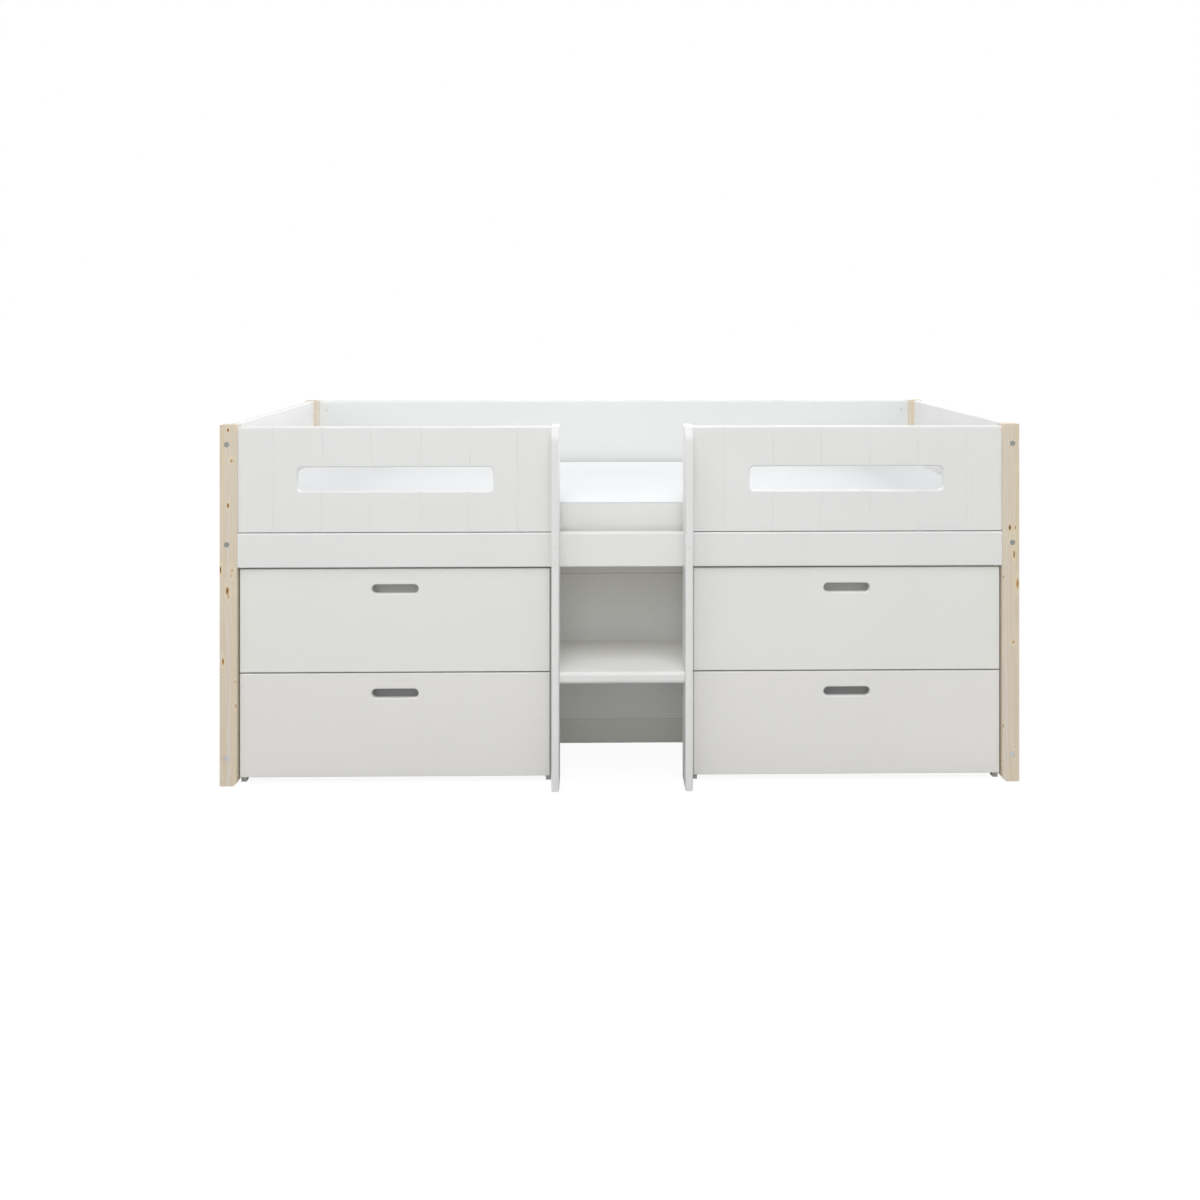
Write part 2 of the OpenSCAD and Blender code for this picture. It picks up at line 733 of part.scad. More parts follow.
// Channel fixed to the chest at the outer side of the left chest, with its front roller on a pin.
// Here x = 0 is the chest side's inner face, x grows towards the drawer and z = 0 is the box's underside.
module chest_channel() {
    web_front = front_roller_y - front_roller_d / 2;
    translate([0, web_front, channel_rise]) cube([runner_sheet, channel_end - web_front, channel_h]);
    for (z = [channel_rise, channel_rise + channel_h - runner_sheet])
        translate([0, channel_start, z]) cube([channel_reach, channel_end - channel_start, runner_sheet]);
    translate([runner_sheet, front_roller_y, lip_rise - roller_clear - front_roller_d / 2]) rotate([0, 90, 0])
        cylinder(d = pin_d, h = roller_w + 2 * roller_stand);
}

module front_roller() {
    translate([runner_sheet + roller_stand, front_roller_y, lip_rise - roller_clear - front_roller_d / 2])
        rotate([0, 90, 0])
        difference() {
            cylinder(d = front_roller_d, h = roller_w);
            translate([0, 0, -over]) cylinder(d = pin_d + 2 * play, h = roller_w + 2 * over);
        }
}

// Runner on the drawer box's outer face: a sheet with a lip that rolls on the front roller,
// a flange under the box's side and a rear roller that runs in the channel.
// Here x = 0 is the box's outer face, and x grows towards the chest side.
module drawer_rail() {
    rail_y = box_y + rail_shorten;
    rail_l = box_l - 2 * rail_shorten;
    translate([0, rail_y, -runner_sheet]) cube([runner_sheet, rail_l, lip_rise + 2 * runner_sheet]);
    translate([-box_t, rail_y, -runner_sheet]) cube([box_t, rail_l, runner_sheet]);
    translate([0, rail_y, lip_rise]) cube([channel_reach, rail_l, runner_sheet]);
    translate([runner_sheet, rear_roller_y, channel_rise + channel_h / 2]) rotate([0, 90, 0])
        cylinder(d = pin_d, h = roller_w + 2 * roller_stand);
}

module rear_roller() {
    translate([runner_sheet + roller_stand, rear_roller_y, channel_rise + channel_h / 2])
        rotate([0, 90, 0]) difference() {
        cylinder(d = roller_d, h = roller_w);
        translate([0, 0, -over]) cylinder(d = pin_d + 2 * play, h = roller_w + 2 * over);
    }
}

// Places a child at both sides of a bay of the left chest: from the outer x inwards, and mirrored.
module both_bay_sides(outer, inner) {
    translate([-outer, 0, 0]) children();
    translate([-inner, 0, 0]) mirror([1, 0, 0]) children();
}

module chest_runners() {
    color(steel) for (upper = [false, true])
        translate([0, 0, drawer_z(upper) + box_rise])
            both_bay_sides(chest_outer - chest_t, chest_inner + chest_t) {
                chest_channel();
                front_roller();
            }
}

module left_chest_runners() whole() chest_runners();
module right_chest_runners() whole() at_side(1) chest_runners();

// Drawer front, drawn at the left, with the flared handle slot.
module drawer_front(upper) {
    height = front_height(upper);
    color(white) translate([-front_outer, front_recess, drawer_z(upper)]) difference() {
        face_board(front_w, front_t, height, front_round);
        translate([front_w / 2, 0, height - handle_drop])
            flared_slot(handle_l, handle_h, handle_h / 2, front_t, handle_flare);
    }
}

// Glued box of a drawer: four walls, grooved all round the inside for the bottom panel.
module drawer_box(upper) {
    groove_in = box_t - bottom_groove;
    color(pine) translate([-box_outer, box_y, drawer_z(upper) + box_rise]) difference() {
        cube([box_w, box_l, box_h]);
        translate([box_t, box_t, -over]) cube([box_w - 2 * box_t, box_l - 2 * box_t, box_h + 2 * over]);
        translate([groove_in, groove_in, bottom_rise - play])
            cube([box_w - 2 * groove_in, box_l - 2 * groove_in, bottom_t + 2 * play]);
    }
}

// Thin bottom panel that lies in the box's grooves.
module drawer_bottom(upper) {
    edge = box_t - bottom_groove + play;
    color(white) translate([-box_outer + edge, box_y + edge, drawer_z(upper) + box_rise + bottom_rise])
        cube([box_w - 2 * edge, box_l - 2 * edge, bottom_t]);
}

module drawer_runners(upper) {
    color(steel) translate([0, 0, drawer_z(upper) + box_rise])
        both_bay_sides(box_outer, box_inner) mirror([1, 0, 0]) {
            drawer_rail();
            rear_roller();
        }
}

module upper_left_drawer_front() whole() drawer_front(true);
module upper_left_drawer_box() whole() drawer_box(true);
module upper_left_drawer_bottom() whole() drawer_bottom(true);
module upper_left_drawer_runners() whole() drawer_runners(true);
module lower_left_drawer_front() whole() drawer_front(false);
module lower_left_drawer_box() whole() drawer_box(false);
module lower_left_drawer_bottom() whole() drawer_bottom(false);
module lower_left_drawer_runners() whole() drawer_runners(false);
module upper_right_drawer_front() whole() at_side(1) drawer_front(true);
module upper_right_drawer_box() whole() at_side(1) drawer_box(true);
module upper_right_drawer_bottom() whole() at_side(1) drawer_bottom(true);
module upper_right_drawer_runners() whole() at_side(1) drawer_runners(true);
module lower_right_drawer_front() whole() at_side(1) drawer_front(false);
module lower_right_drawer_box() whole() at_side(1) drawer_box(false);
module lower_right_drawer_bottom() whole() at_side(1) drawer_bottom(false);
module lower_right_drawer_runners() whole() at_side(1) drawer_runners(false);

// Connector bolt along +x: its head sits in the counterbore and its hex socket faces out.
module bolt_x(length, seat) {
    translate([seat - bolt_head_h, 0, 0]) rotate([0, 90, 0]) difference() {
        union() {
            cylinder(d = bolt_head_d, h = bolt_head_h);
            cylinder(d = bolt_d, h = bolt_head_h + length);
        }
        translate([0, 0, -over]) cylinder(d = socket_d, h = over + bolt_head_h * 2 / 3, $fn = 6);
    }
}

// The same bolt along +y.
module bolt_y(length, seat) {
    rotate([0, 0, 90]) bolt_x(length, seat);
}

module corner_bolts() {
    for (z = concat(end_bolt_z, [foot_bolt_z])) translate([-end_mid_x, 0, z]) bolt_y(bolt_l, head_seat);
    for (z = guard_bolt_z) translate([-half_l, guard_mid_y, z]) bolt_x(bolt_l, head_seat);
    for (z = rail_bolt_z) translate([-half_l, rail_mid_y, z]) bolt_x(bolt_l, head_seat);
}

module frame_bolts() whole() color(steel) for (side = [-1, 1]) at_side(side) {
    corner_bolts();
    at_rear() corner_bolts();
}

module ladder_bolts() whole() color(steel) for (side = [-1, 1])
    at_side(side) translate([-plank_inner, guard_mid_y, guard_bolt_z[0]]) mirror([1, 0, 0])
        bolt_x(plank_bolt_l, plank_seat);

// Barrel nut with its cross hole along x, lying along y.
module nut_for_x() {
    difference() {
        rotate([90, 0, 0]) cylinder(d = nut_d, h = nut_l, center = true);
        rotate([0, 90, 0]) cylinder(d = bolt_d + play, h = nut_d + 2 * over, center = true);
    }
}

module corner_nuts() {
    for (z = concat(end_bolt_z, [foot_bolt_z]))
        translate([-end_mid_x, post_w + nut_inset, z]) rotate([0, 0, 90]) nut_for_x();
    for (z = guard_bolt_z) translate([-inner_x + nut_inset, guard_mid_y, z]) nut_for_x();
    for (z = rail_bolt_z) translate([-inner_x + nut_inset, rail_mid_y, z]) nut_for_x();
}

module barrel_nuts() whole() color(steel) for (side = [-1, 1]) at_side(side) {
    corner_nuts();
    at_rear() corner_nuts();
    translate([-plank_outer - nut_inset, guard_mid_y, guard_bolt_z[0]]) nut_for_x();
}

// Wood screw along +y, its head at the seat.
module wood_screw() {
    rotate([-90, 0, 0]) {
        cylinder(d = screw_d, h = screw_l);
        translate([0, 0, -screw_head_h]) cylinder(d = screw_head_d, h = screw_head_h);
    }
}

// Screws through the planks' front edges into the rail, and through the planks into the step.
module ladder_screws() whole() color(steel) for (side = [-1, 1]) at_side(side) {
    for (z = screw_z) translate([-plank_mid_x, -plank_proud + screw_seat, z]) wood_screw();
    for (y = step_screw_y)
        translate([-plank_outer + step_screw_seat, y, step_mid_z]) rotate([0, 0, -90]) wood_screw();
}

module screw_plugs() whole() color(white) for (x = [-plank_mid_x, plank_mid_x], z = screw_z)
    translate([x, -plank_proud, z]) rotate([-90, 0, 0]) cylinder(d = screw_head_d, h = plug_t);

module guard_dowels() whole() color(pine) for (side = [-1, 1])
    at_side(side) translate([-plank_outer + dowel_in_plank(), guard_mid_y, guard_bolt_z[1]])
        rotate([0, -90, 0]) cylinder(d = dowel_d, h = dowel_l);

front_left_post();
front_right_post();
rear_left_post();
rear_right_post();
front_bed_rail();
rear_bed_rail();
left_end_panel();
right_end_panel();
left_foot_rail();
right_foot_rail();
left_guard();
right_guard();
rear_guard();
slat_ledges();
slats();
mattress();
left_ladder_plank();
right_ladder_plank();
ladder_step();
niche_back();
niche_top_rail();
niche_foot_rail();
left_chest_outer_side();
left_chest_inner_side();
left_chest_top();
left_chest_base();
left_chest_back();
right_chest_outer_side();
right_chest_inner_side();
right_chest_top();
right_chest_base();
right_chest_back();
left_chest_runners();
right_chest_runners();
chest_glides();
upper_left_drawer_front();
upper_left_drawer_box();
upper_left_drawer_bottom();
upper_left_drawer_runners();
lower_left_drawer_front();
lower_left_drawer_box();
lower_left_drawer_bottom();
lower_left_drawer_runners();
upper_right_drawer_front();
upper_right_drawer_box();
upper_right_drawer_bottom();
upper_right_drawer_runners();
lower_right_drawer_front();
lower_right_drawer_box();
lower_right_drawer_bottom();
lower_right_drawer_runners();
frame_bolts();
ladder_bolts();
barrel_nuts();
ladder_screws();
screw_plugs();
guard_dowels();
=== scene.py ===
# %% [markdown]
# # A half-high cabin bed
#
# Four square pine posts carry white lacquered boards. Under the bed stand two chests with two drawers
# each, and between them a short ladder: two notched planks and one deep step.
# The boards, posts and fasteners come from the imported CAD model, which this lesson never moves or changes.
# What is left to do here is what CAD doesn't show: the finishes, the soft mattress, the grip cups in the
# handle slots, the small screws, the light and the camera.

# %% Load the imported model
import json
import math

import bpy
import numpy as np
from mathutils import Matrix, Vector

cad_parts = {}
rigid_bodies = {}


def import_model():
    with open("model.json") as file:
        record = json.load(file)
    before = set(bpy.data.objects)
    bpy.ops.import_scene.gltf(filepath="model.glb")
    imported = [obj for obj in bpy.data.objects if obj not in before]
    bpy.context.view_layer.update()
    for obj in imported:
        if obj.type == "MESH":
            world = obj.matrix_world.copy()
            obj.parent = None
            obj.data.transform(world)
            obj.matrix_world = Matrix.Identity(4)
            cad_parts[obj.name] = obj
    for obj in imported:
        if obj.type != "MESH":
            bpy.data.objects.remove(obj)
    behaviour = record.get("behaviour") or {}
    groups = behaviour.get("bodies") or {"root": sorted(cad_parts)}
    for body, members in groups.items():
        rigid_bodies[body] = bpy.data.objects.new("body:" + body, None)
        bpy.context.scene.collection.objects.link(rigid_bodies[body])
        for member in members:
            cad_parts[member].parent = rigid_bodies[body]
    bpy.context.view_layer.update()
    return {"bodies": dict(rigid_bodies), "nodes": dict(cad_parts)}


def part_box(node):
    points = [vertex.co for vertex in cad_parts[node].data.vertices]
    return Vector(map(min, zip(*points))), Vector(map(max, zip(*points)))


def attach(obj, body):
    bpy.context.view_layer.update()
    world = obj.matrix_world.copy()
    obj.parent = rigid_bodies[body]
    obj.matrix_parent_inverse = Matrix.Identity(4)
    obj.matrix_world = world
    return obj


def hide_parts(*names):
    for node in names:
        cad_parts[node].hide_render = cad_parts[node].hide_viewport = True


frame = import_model()
MM = 0.001
scene = bpy.context.scene

# %% [markdown]
# ## The camera
#
# The picture was taken with a level camera whose frame is shifted downwards, so that the posts stay
# upright and parallel. A fit of twelve points on the posts and planks gave its place, its turn of one
# degree about the vertical and its focal length in pixels of a 1200 pixel wide frame.

# %% Camera
FRAME_PIXELS = 1200
SENSOR_MM = 36
focal_pixels = 1218.446
centre_pixel = (613.893, 319.2365)
camera_place = (-0.07525, -3.64802, 1.21291)
camera_turn = -0.0172

camera_data = bpy.data.cameras.new("camera")
camera_data.sensor_width = SENSOR_MM
camera_data.lens = SENSOR_MM * focal_pixels / FRAME_PIXELS
camera_data.shift_x = 0.5 - centre_pixel[0] / FRAME_PIXELS
camera_data.shift_y = centre_pixel[1] / FRAME_PIXELS - 0.5
camera = bpy.data.objects.new("camera", camera_data)
camera.location = camera_place
camera.rotation_euler = (math.pi / 2, 0, camera_turn)
scene.collection.objects.link(camera)
scene.camera = camera
scene.view_settings.view_transform = "Standard"
print("lens in mm:", round(camera_data.lens, 2))

# %% [markdown]
# ## Arithmetic on shader signals
#
# A pattern in a material is a formula on the place of a point. Drawing such a formula node by node is
# slow to read, so one small class wraps a socket: adding or multiplying two signals adds the Math node,
# and one method adds any other kind of node.

# %% The signal class


class Signal:
    """One socket of a material's node tree. Arithmetic on it adds Math nodes; grow() adds any other node."""

    def __init__(self, tree, socket=None):
        self.tree = tree
        self.socket = socket

    def grow(self, kind, settings=None, inputs=None, output=0):
        """Adds a node of a kind: first its settings, then the values or links of its sockets."""
        node = self.tree.nodes.new(kind)
        for name, value in (settings or {}).items():
            setattr(node, name, value)
        for name, value in (inputs or {}).items():
            if isinstance(value, Signal):
                self.tree.links.new(value.socket, node.inputs[name])
            else:
                node.inputs[name].default_value = value
        return Signal(self.tree, node.outputs[output]) if len(node.outputs) else None

    def other(self, output):
        """Another output of the node that this signal comes from."""
        return Signal(self.tree, self.socket.node.outputs[output])

    def math(self, operation, *values):
        return self.grow("ShaderNodeMath", {"operation": operation}, dict(enumerate(values)))

    def __add__(self, value):
        return self.math("ADD", self, value)

    def __radd__(self, value):
        return self.math("ADD", value, self)

    def __sub__(self, value):
        return self.math("SUBTRACT", self, value)

    def __rsub__(self, value):
        return self.math("SUBTRACT", value, self)

    def __mul__(self, value):
        return self.math("MULTIPLY", self, value)

    def __truediv__(self, value):
        return self.math("DIVIDE", self, value)

    def ease(self, start, end):
        """0 below start, 1 above end, and a smooth rise between them."""
        inputs = {"Value": self, "From Min": start, "From Max": end}
        return self.grow("ShaderNodeMapRange", {"interpolation_type": "SMOOTHSTEP"}, inputs)

    def between(self, low, high):
        """The colour between low, where this signal is 0, and high, where it is 1."""
        return self.grow("ShaderNodeMix", {"data_type": "RGBA"}, {0: self, 6: low, 7: high}, 2)


# %% [markdown]
# ## Colours, noise and the frame of a material
#
# Colours are written as they look on a screen, 0 to 255, and turned into the linear light that a shader
# works in. Every material reads the object's own coordinates, in metres, so its grain has a real size and
# stays with the piece when a drawer slides out.

# %% Helpers for materials


def paint(red, green, blue):
    """A colour in screen values, decoded to linear light with the usual screen curve."""
    screen = np.array([red, green, blue]) / 255
    linear = np.where(screen <= 0.04045, screen / 12.92, ((screen + 0.055) / 1.055) ** 2.4)
    return (*linear.tolist(), 1.0)


def begin(name):
    """A new material, with the object's x, y and z as signals in metres."""
    material = bpy.data.materials.new(name)
    material.use_nodes = True
    material.node_tree.nodes.clear()
    place = Signal(material.node_tree).grow("ShaderNodeTexCoord", output="Object")
    x = place.grow("ShaderNodeSeparateXYZ", inputs={"Vector": place})
    return material, x, x.other("Y"), x.other("Z")


def cloud(x, y, z, detail=2.0):
    """Soft noise from 0 to 1, with blobs about one unit wide, so an axis is stretched by scaling it down."""
    place = x.grow("ShaderNodeCombineXYZ", inputs={"X": x, "Y": y, "Z": z})
    return place.grow("ShaderNodeTexNoise", inputs={"Vector": place, "Scale": 1.0, "Detail": detail})


def facing(x, axis):
    """How far the surface faces along one world axis, from -1 to 1."""
    normal = x.grow("ShaderNodeNewGeometry", output="Normal")
    return x.grow("ShaderNodeSeparateXYZ", inputs={"Vector": normal}, output=axis)


def close(material, colour, roughness, height, rise, fixed=None):
    """Ends a material. What varies feeds colour, roughness and bump, and constants stay on the shader."""
    start = Signal(material.node_tree)
    normal = start.grow("ShaderNodeBump", inputs={"Distance": rise, "Height": height})
    inputs = {"Base Color": colour, "Roughness": roughness, "Normal": normal, **(fixed or {})}
    shader = start.grow("ShaderNodeBsdfPrincipled", inputs=inputs)
    start.grow("ShaderNodeOutputMaterial", inputs={"Surface": shader})
    return material


def dress(material, *names):
    """Gives CAD nodes a material through their own material slots."""
    for name in names:
        for place in frame["nodes"][name].material_slots:
            place.material = material
    print(material.name, "on", len(names), "nodes")


# %% [markdown]
# ## Whitewashed pine
#
# Wood is solid: the rings seen as arcs on a post's end are the lines on its sides. So the grain is made as
# a solid too. The distance from the pith, a line along the grain outside the post, is cut into rings, and
# slow noise makes them sway along the length. A knot is the root of a branch: an oval that runs into the
# wood, dark in the middle, with the rings bulging round it and a pale halo.
# The wash of thin white paint hides most of the rings and leaves soft bands of grey, pink and straw.

# %% Timber as a solid
WASHED_PINE = {
    "cool": paint(221, 213, 204),
    "warm": paint(222, 208, 184),
    "late": paint(208, 190, 158),
    "fibre": paint(203, 189, 166),
    "halo": paint(229, 217, 190),
    "amber": paint(198, 156, 98),
    "heart": paint(116, 80, 42),
}
STAIN_REACH = 1.35


def knot_field(across, along, knots):
    """Distance to the nearest knot in knot sizes, and the stain of the knots. A knot is (across, along, half
    width, half height, strength), in mm. Its stain falls from its strength in the middle to 0 at
    STAIN_REACH times its size."""
    nearest = None
    stain = None
    for middle, height, half_width, half_height, strength in knots:
        a = (across - middle * MM) / (half_width * MM)
        b = (along - height * MM) / (half_height * MM)
        far = (a * a + b * b).math("SQRT", a * a + b * b)
        dark = (1 - far.ease(0.0, STAIN_REACH)) * strength
        nearest = far if nearest is None else nearest.math("MINIMUM", nearest, far)
        stain = dark if stain is None else stain.math("MAXIMUM", stain, dark)
    return nearest, stain


def timber(across, deep, along, pith, near, stain, tones, seed, ring_mm=3.2):
    """Colour, roughness and height of wood. The ring number is the distance from the pith line over the ring
    width, plus a slow sway along the grain and a bulge round the knots."""
    sway = cloud(across * 8, deep * 8, along * 1.6 + seed) - 0.5
    bulge = 1 - near.ease(0.7, 3.2)
    off_across = across - pith[0] * MM
    off_deep = deep - pith[1] * MM
    squared = off_across * off_across + off_deep * off_deep
    radius = squared.math("SQRT", squared) + sway * 0.02 + bulge * 0.004
    ring = (radius / (ring_mm * MM)).math("FRACT", radius / (ring_mm * MM))
    late = ring.ease(0.2, 0.85) * (1 - ring.ease(0.88, 1.0))
    fibre = cloud(across * 900, deep * 900, along * 14, detail=3.0)
    tone = cloud(across * 70 + seed, deep * 70, along * 1.1, detail=1.0)
    colour = tone.ease(0.3, 0.7).between(tones["cool"], tones["warm"])
    colour = (late * 0.3).between(colour, tones["late"])
    colour = (fibre.ease(0.45, 0.85) * 0.4).between(colour, tones["fibre"])
    colour = (bulge * 0.5).between(colour, tones["halo"])
    ragged = stain * (0.55 + cloud(across * 420, deep * 420, along * 130) * 0.9)
    colour = ragged.ease(0.08, 0.45).between(colour, tones["amber"])
    colour = ragged.ease(0.42, 0.85).between(colour, tones["heart"])
    roughness = 0.5 + fibre * 0.12 - ragged * 0.08
    height = late * 0.5 + fibre * 0.5 - ragged * 0.3
    return colour, roughness, height


# %% [markdown]
# The two front posts show their knots, so these are put where they sit in the picture, read in mm from the
# post's middle and from the floor. A first render showed them a little small and pale, so all are grown by
# the same three factors. The other faces aren't seen: their knots are drawn by a seeded random generator,
# small and far apart, as in sorted timber.

# %% Corner posts
FRONT_KNOTS = {
    "front_left_post": [
        (0.1, 925, 2.8, 4.8, 1.0), (9, 845, 4, 5, 0.55), (15.5, 845, 1.6, 2, 0.45),
        (0.1, 729, 3.2, 7, 0.85), (-19.4, 562, 2.6, 10.5, 0.95), (10.7, 561, 4.5, 7.5, 0.32),
        (7.6, 547, 3, 9, 0.28), (-1.6, 508, 4.2, 11, 0.85), (0.8, 494, 2.6, 9, 0.5),
        (18, 513, 2.2, 4, 0.15), (21.8, 406, 2, 4, 0.3), (-12.8, 324, 2.8, 9.5, 0.85),
        (-11.5, 284, 2.4, 4.5, 0.25), (17.4, 270, 1.8, 5, 0.4), (21.9, 272, 1.8, 4.5, 0.6),
        (20.6, 209, 2.6, 6.5, 0.6),
    ],
    "front_right_post": [
        (-3.8, 666, 3.2, 7.6, 1.0), (11.2, 666, 1.8, 6, 0.6), (3, 643, 8, 11, 0.16),
        (7.6, 596, 2.6, 11.5, 0.8), (17, 519, 4.8, 15.5, 0.5), (-21.2, 537, 2.2, 4.4, 0.8),
        (5.4, 366, 4, 4.2, 0.55), (-22, 146, 2.4, 6, 0.95), (10.7, 91, 1.6, 2.8, 0.5),
        (-4.5, 879, 1.6, 2.4, 0.4), (15, 825, 3.5, 6, 0.14),
    ],
}
KNOTS_WIDER = 1.15
KNOTS_TALLER = 1.12
KNOTS_DARKER = 1.15
PITHS = {
    "front_left_post": (-14, 48),
    "front_right_post": (20, 55),
    "rear_left_post": (-30, -38),
    "rear_right_post": (34, -30),
}
KNOTS_PER_HIDDEN_FACE = 6
KNOTTY_HEIGHT = 935
OUT_OF_REACH = 9


def front_knots(name):
    """The knots read on a post's front, grown by the three factors. There are none for a rear post."""
    return [
        (across, height, half_width * KNOTS_WIDER, half_height * KNOTS_TALLER, strength * KNOTS_DARKER)
        for across, height, half_width, half_height, strength in FRONT_KNOTS.get(name, [])
    ]


def drawn_knots(random):
    """Knots for a face that isn't seen: one in each stretch of the post's height, placed at random in it."""
    knots = []
    for step in range(KNOTS_PER_HIDDEN_FACE):
        height = (step + random.uniform(0.15, 0.85)) * KNOTTY_HEIGHT / KNOTS_PER_HIDDEN_FACE
        half_width = random.uniform(1.6, 3.6)
        half_height = half_width * random.uniform(1.4, 2.6)
        knots.append((random.uniform(-18, 18), height, half_width, half_height, random.uniform(0.4, 1.0)))
    return knots


def post_material(name, seed):
    """Solid pine centred on the post. The front's knots run along y, and the side's knots along x."""
    low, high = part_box(name)
    middle = (low + high) / 2
    random = np.random.default_rng(seed)
    material, x, y, z = begin("washed_pine_" + name)
    across = x - middle.x
    deep = y - middle.y
    near_front, stain_front = knot_field(across, z, front_knots(name) or drawn_knots(random))
    near_side, stain_side = knot_field(deep, z, drawn_knots(random))
    from_side = facing(x, "X").math("ABSOLUTE", facing(x, "X")).ease(0.5, 0.8)
    near_front = near_front + from_side * OUT_OF_REACH
    near_side = near_side + (1 - from_side) * OUT_OF_REACH
    near = near_front.math("MINIMUM", near_front, near_side)
    stain = stain_front * (1 - from_side) + stain_side * from_side
    colour, roughness, height = timber(across, deep, z, PITHS[name], near, stain, WASHED_PINE, seed)
    end_grain = facing(x, "Z").ease(0.6, 0.95)
    colour = (end_grain * 0.3).between(colour, paint(216, 202, 172))
    return close(material, colour, roughness, height, 0.12 * MM)


for number, post in enumerate(PITHS):
    dress(post_material(post, 11 + number), post)

# %% [markdown]
# ## Slats and ledges
#
# The slats are planed pine without the wash, so they are yellower. All of them are one node, so each slat
# gets its own cut of wood from its number: the place along the bed, divided by the spacing and rounded
# down, picks a random shift of the pith.

# %% Slats and ledges
PLANED_PINE = {
    "cool": paint(229, 210, 172),
    "warm": paint(223, 196, 150),
    "late": paint(201, 164, 108),
    "fibre": paint(198, 166, 118),
    "halo": paint(222, 190, 138),
    "amber": paint(176, 122, 68),
    "heart": paint(98, 60, 32),
}
BED_HALF = 1.0
SLAT_COUNT = 13
SLAT_WIDTH = 70 * MM
KNOT_SIZES_PER_CELL = 14


def scattered_knots(across, along, cell):
    """Knots at the points of a random grid: distance to the nearest in knot sizes, and its stain."""
    place = across.grow(
        "ShaderNodeCombineXYZ", inputs={"X": across / (cell * 0.4), "Y": along / cell, "Z": 0.0}
    )
    found = place.grow(
        "ShaderNodeTexVoronoi", {"voronoi_dimensions": "2D"}, {"Vector": place, "Scale": 1.0}, "Distance"
    )
    near = found * KNOT_SIZES_PER_CELL
    return near, 1 - near.ease(0.0, STAIN_REACH)


def slat_material():
    material, x, y, z = begin("planed_pine_slats")
    pitch = (2 * BED_HALF - SLAT_WIDTH) / SLAT_COUNT
    number = (x / pitch + SLAT_COUNT / 2).math("FLOOR", x / pitch + SLAT_COUNT / 2)
    luck = number.grow("ShaderNodeTexWhiteNoise", {"noise_dimensions": "1D"}, {"W": number})
    middle = (number - (SLAT_COUNT - 1) / 2) * pitch
    across = x - middle + (luck - 0.5) * 0.06
    deep = z + luck * 0.05
    near, stain = scattered_knots(x, y + luck * 3, 0.3)
    colour, roughness, height = timber(across, deep, y, (10, 560), near, stain, PLANED_PINE, 3, ring_mm=4.0)
    return close(material, colour, roughness, height, 0.1 * MM)


def ledge_material():
    material, x, y, z = begin("planed_pine_ledges")
    near, stain = scattered_knots(z, x, 0.35)
    colour, roughness, height = timber(z - 0.55, y, x, (10, 30), near, stain, PLANED_PINE, 8)
    return close(material, colour, roughness, height, 0.1 * MM)


dress(slat_material(), "slats")
dress(ledge_material(), "slat_ledges")

# %% [markdown]
# ## Drawer boxes
#
# A drawer box is glued from four thin boards whose corners lock with fingers. The box is one CAD node, so
# the material works out which board a point belongs to: a side, a front or back, or in the corner blocks
# one of the two by turns up the height. The grain runs along the board that was found, so a finger shows
# end grain where it comes through, and a thin dark line marks each joint.

# %% Drawer boxes
BOX_WALL = 12 * MM
FINGER = 20 * MM
BOXES = [f"{body}_box" for body in frame["bodies"] if body.endswith("_drawer")]


def box_material(name, seed):
    low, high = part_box(name)
    half = (high - low) / 2
    middle = (high + low) / 2
    material, x, y, z = begin("pine_" + name)
    from_middle_x = (x - middle.x).math("ABSOLUTE", x - middle.x)
    from_middle_y = (y - middle.y).math("ABSOLUTE", y - middle.y)
    in_side = from_middle_x.math("GREATER_THAN", from_middle_x, half.x - BOX_WALL)
    in_front = from_middle_y.math("GREATER_THAN", from_middle_y, half.y - BOX_WALL)
    finger = ((z - low.z) / (2 * FINGER)).math("FRACT", (z - low.z) / (2 * FINGER))
    odd = finger.math("GREATER_THAN", finger, 0.5)
    side_board = in_side * (1 - in_front * odd)
    across = z - middle.z
    along = side_board * y + (1 - side_board) * x
    deep = side_board * x + (1 - side_board) * y
    near, stain = scattered_knots(z + seed, along, 0.28)
    colour, roughness, height = timber(
        across, deep, along, (30, 640), near, stain, PLANED_PINE, seed, ring_mm=3.6
    )
    corner = in_side * in_front
    step = (finger * 2).math("FRACT", finger * 2)
    edge = (step - 0.5).math("ABSOLUTE", step - 0.5)
    seam = edge.ease(0.485, 0.5)
    wall_x = (from_middle_x - (half.x - BOX_WALL)).math("ABSOLUTE", from_middle_x - (half.x - BOX_WALL))
    wall_y = (from_middle_y - (half.y - BOX_WALL)).math("ABSOLUTE", from_middle_y - (half.y - BOX_WALL))
    line = (1 - wall_x.ease(0.1 * MM, 0.5 * MM)) * in_front + (1 - wall_y.ease(0.1 * MM, 0.5 * MM)) * in_side
    joint = (corner * seam + line).math("MINIMUM", corner * seam + line, 1.0)
    colour = (joint * 0.55).between(colour, paint(120, 84, 52))
    return close(material, colour, roughness, height - joint * 0.6, 0.1 * MM)


for number, box in enumerate(BOXES):
    dress(box_material(box, 21 + number), box)
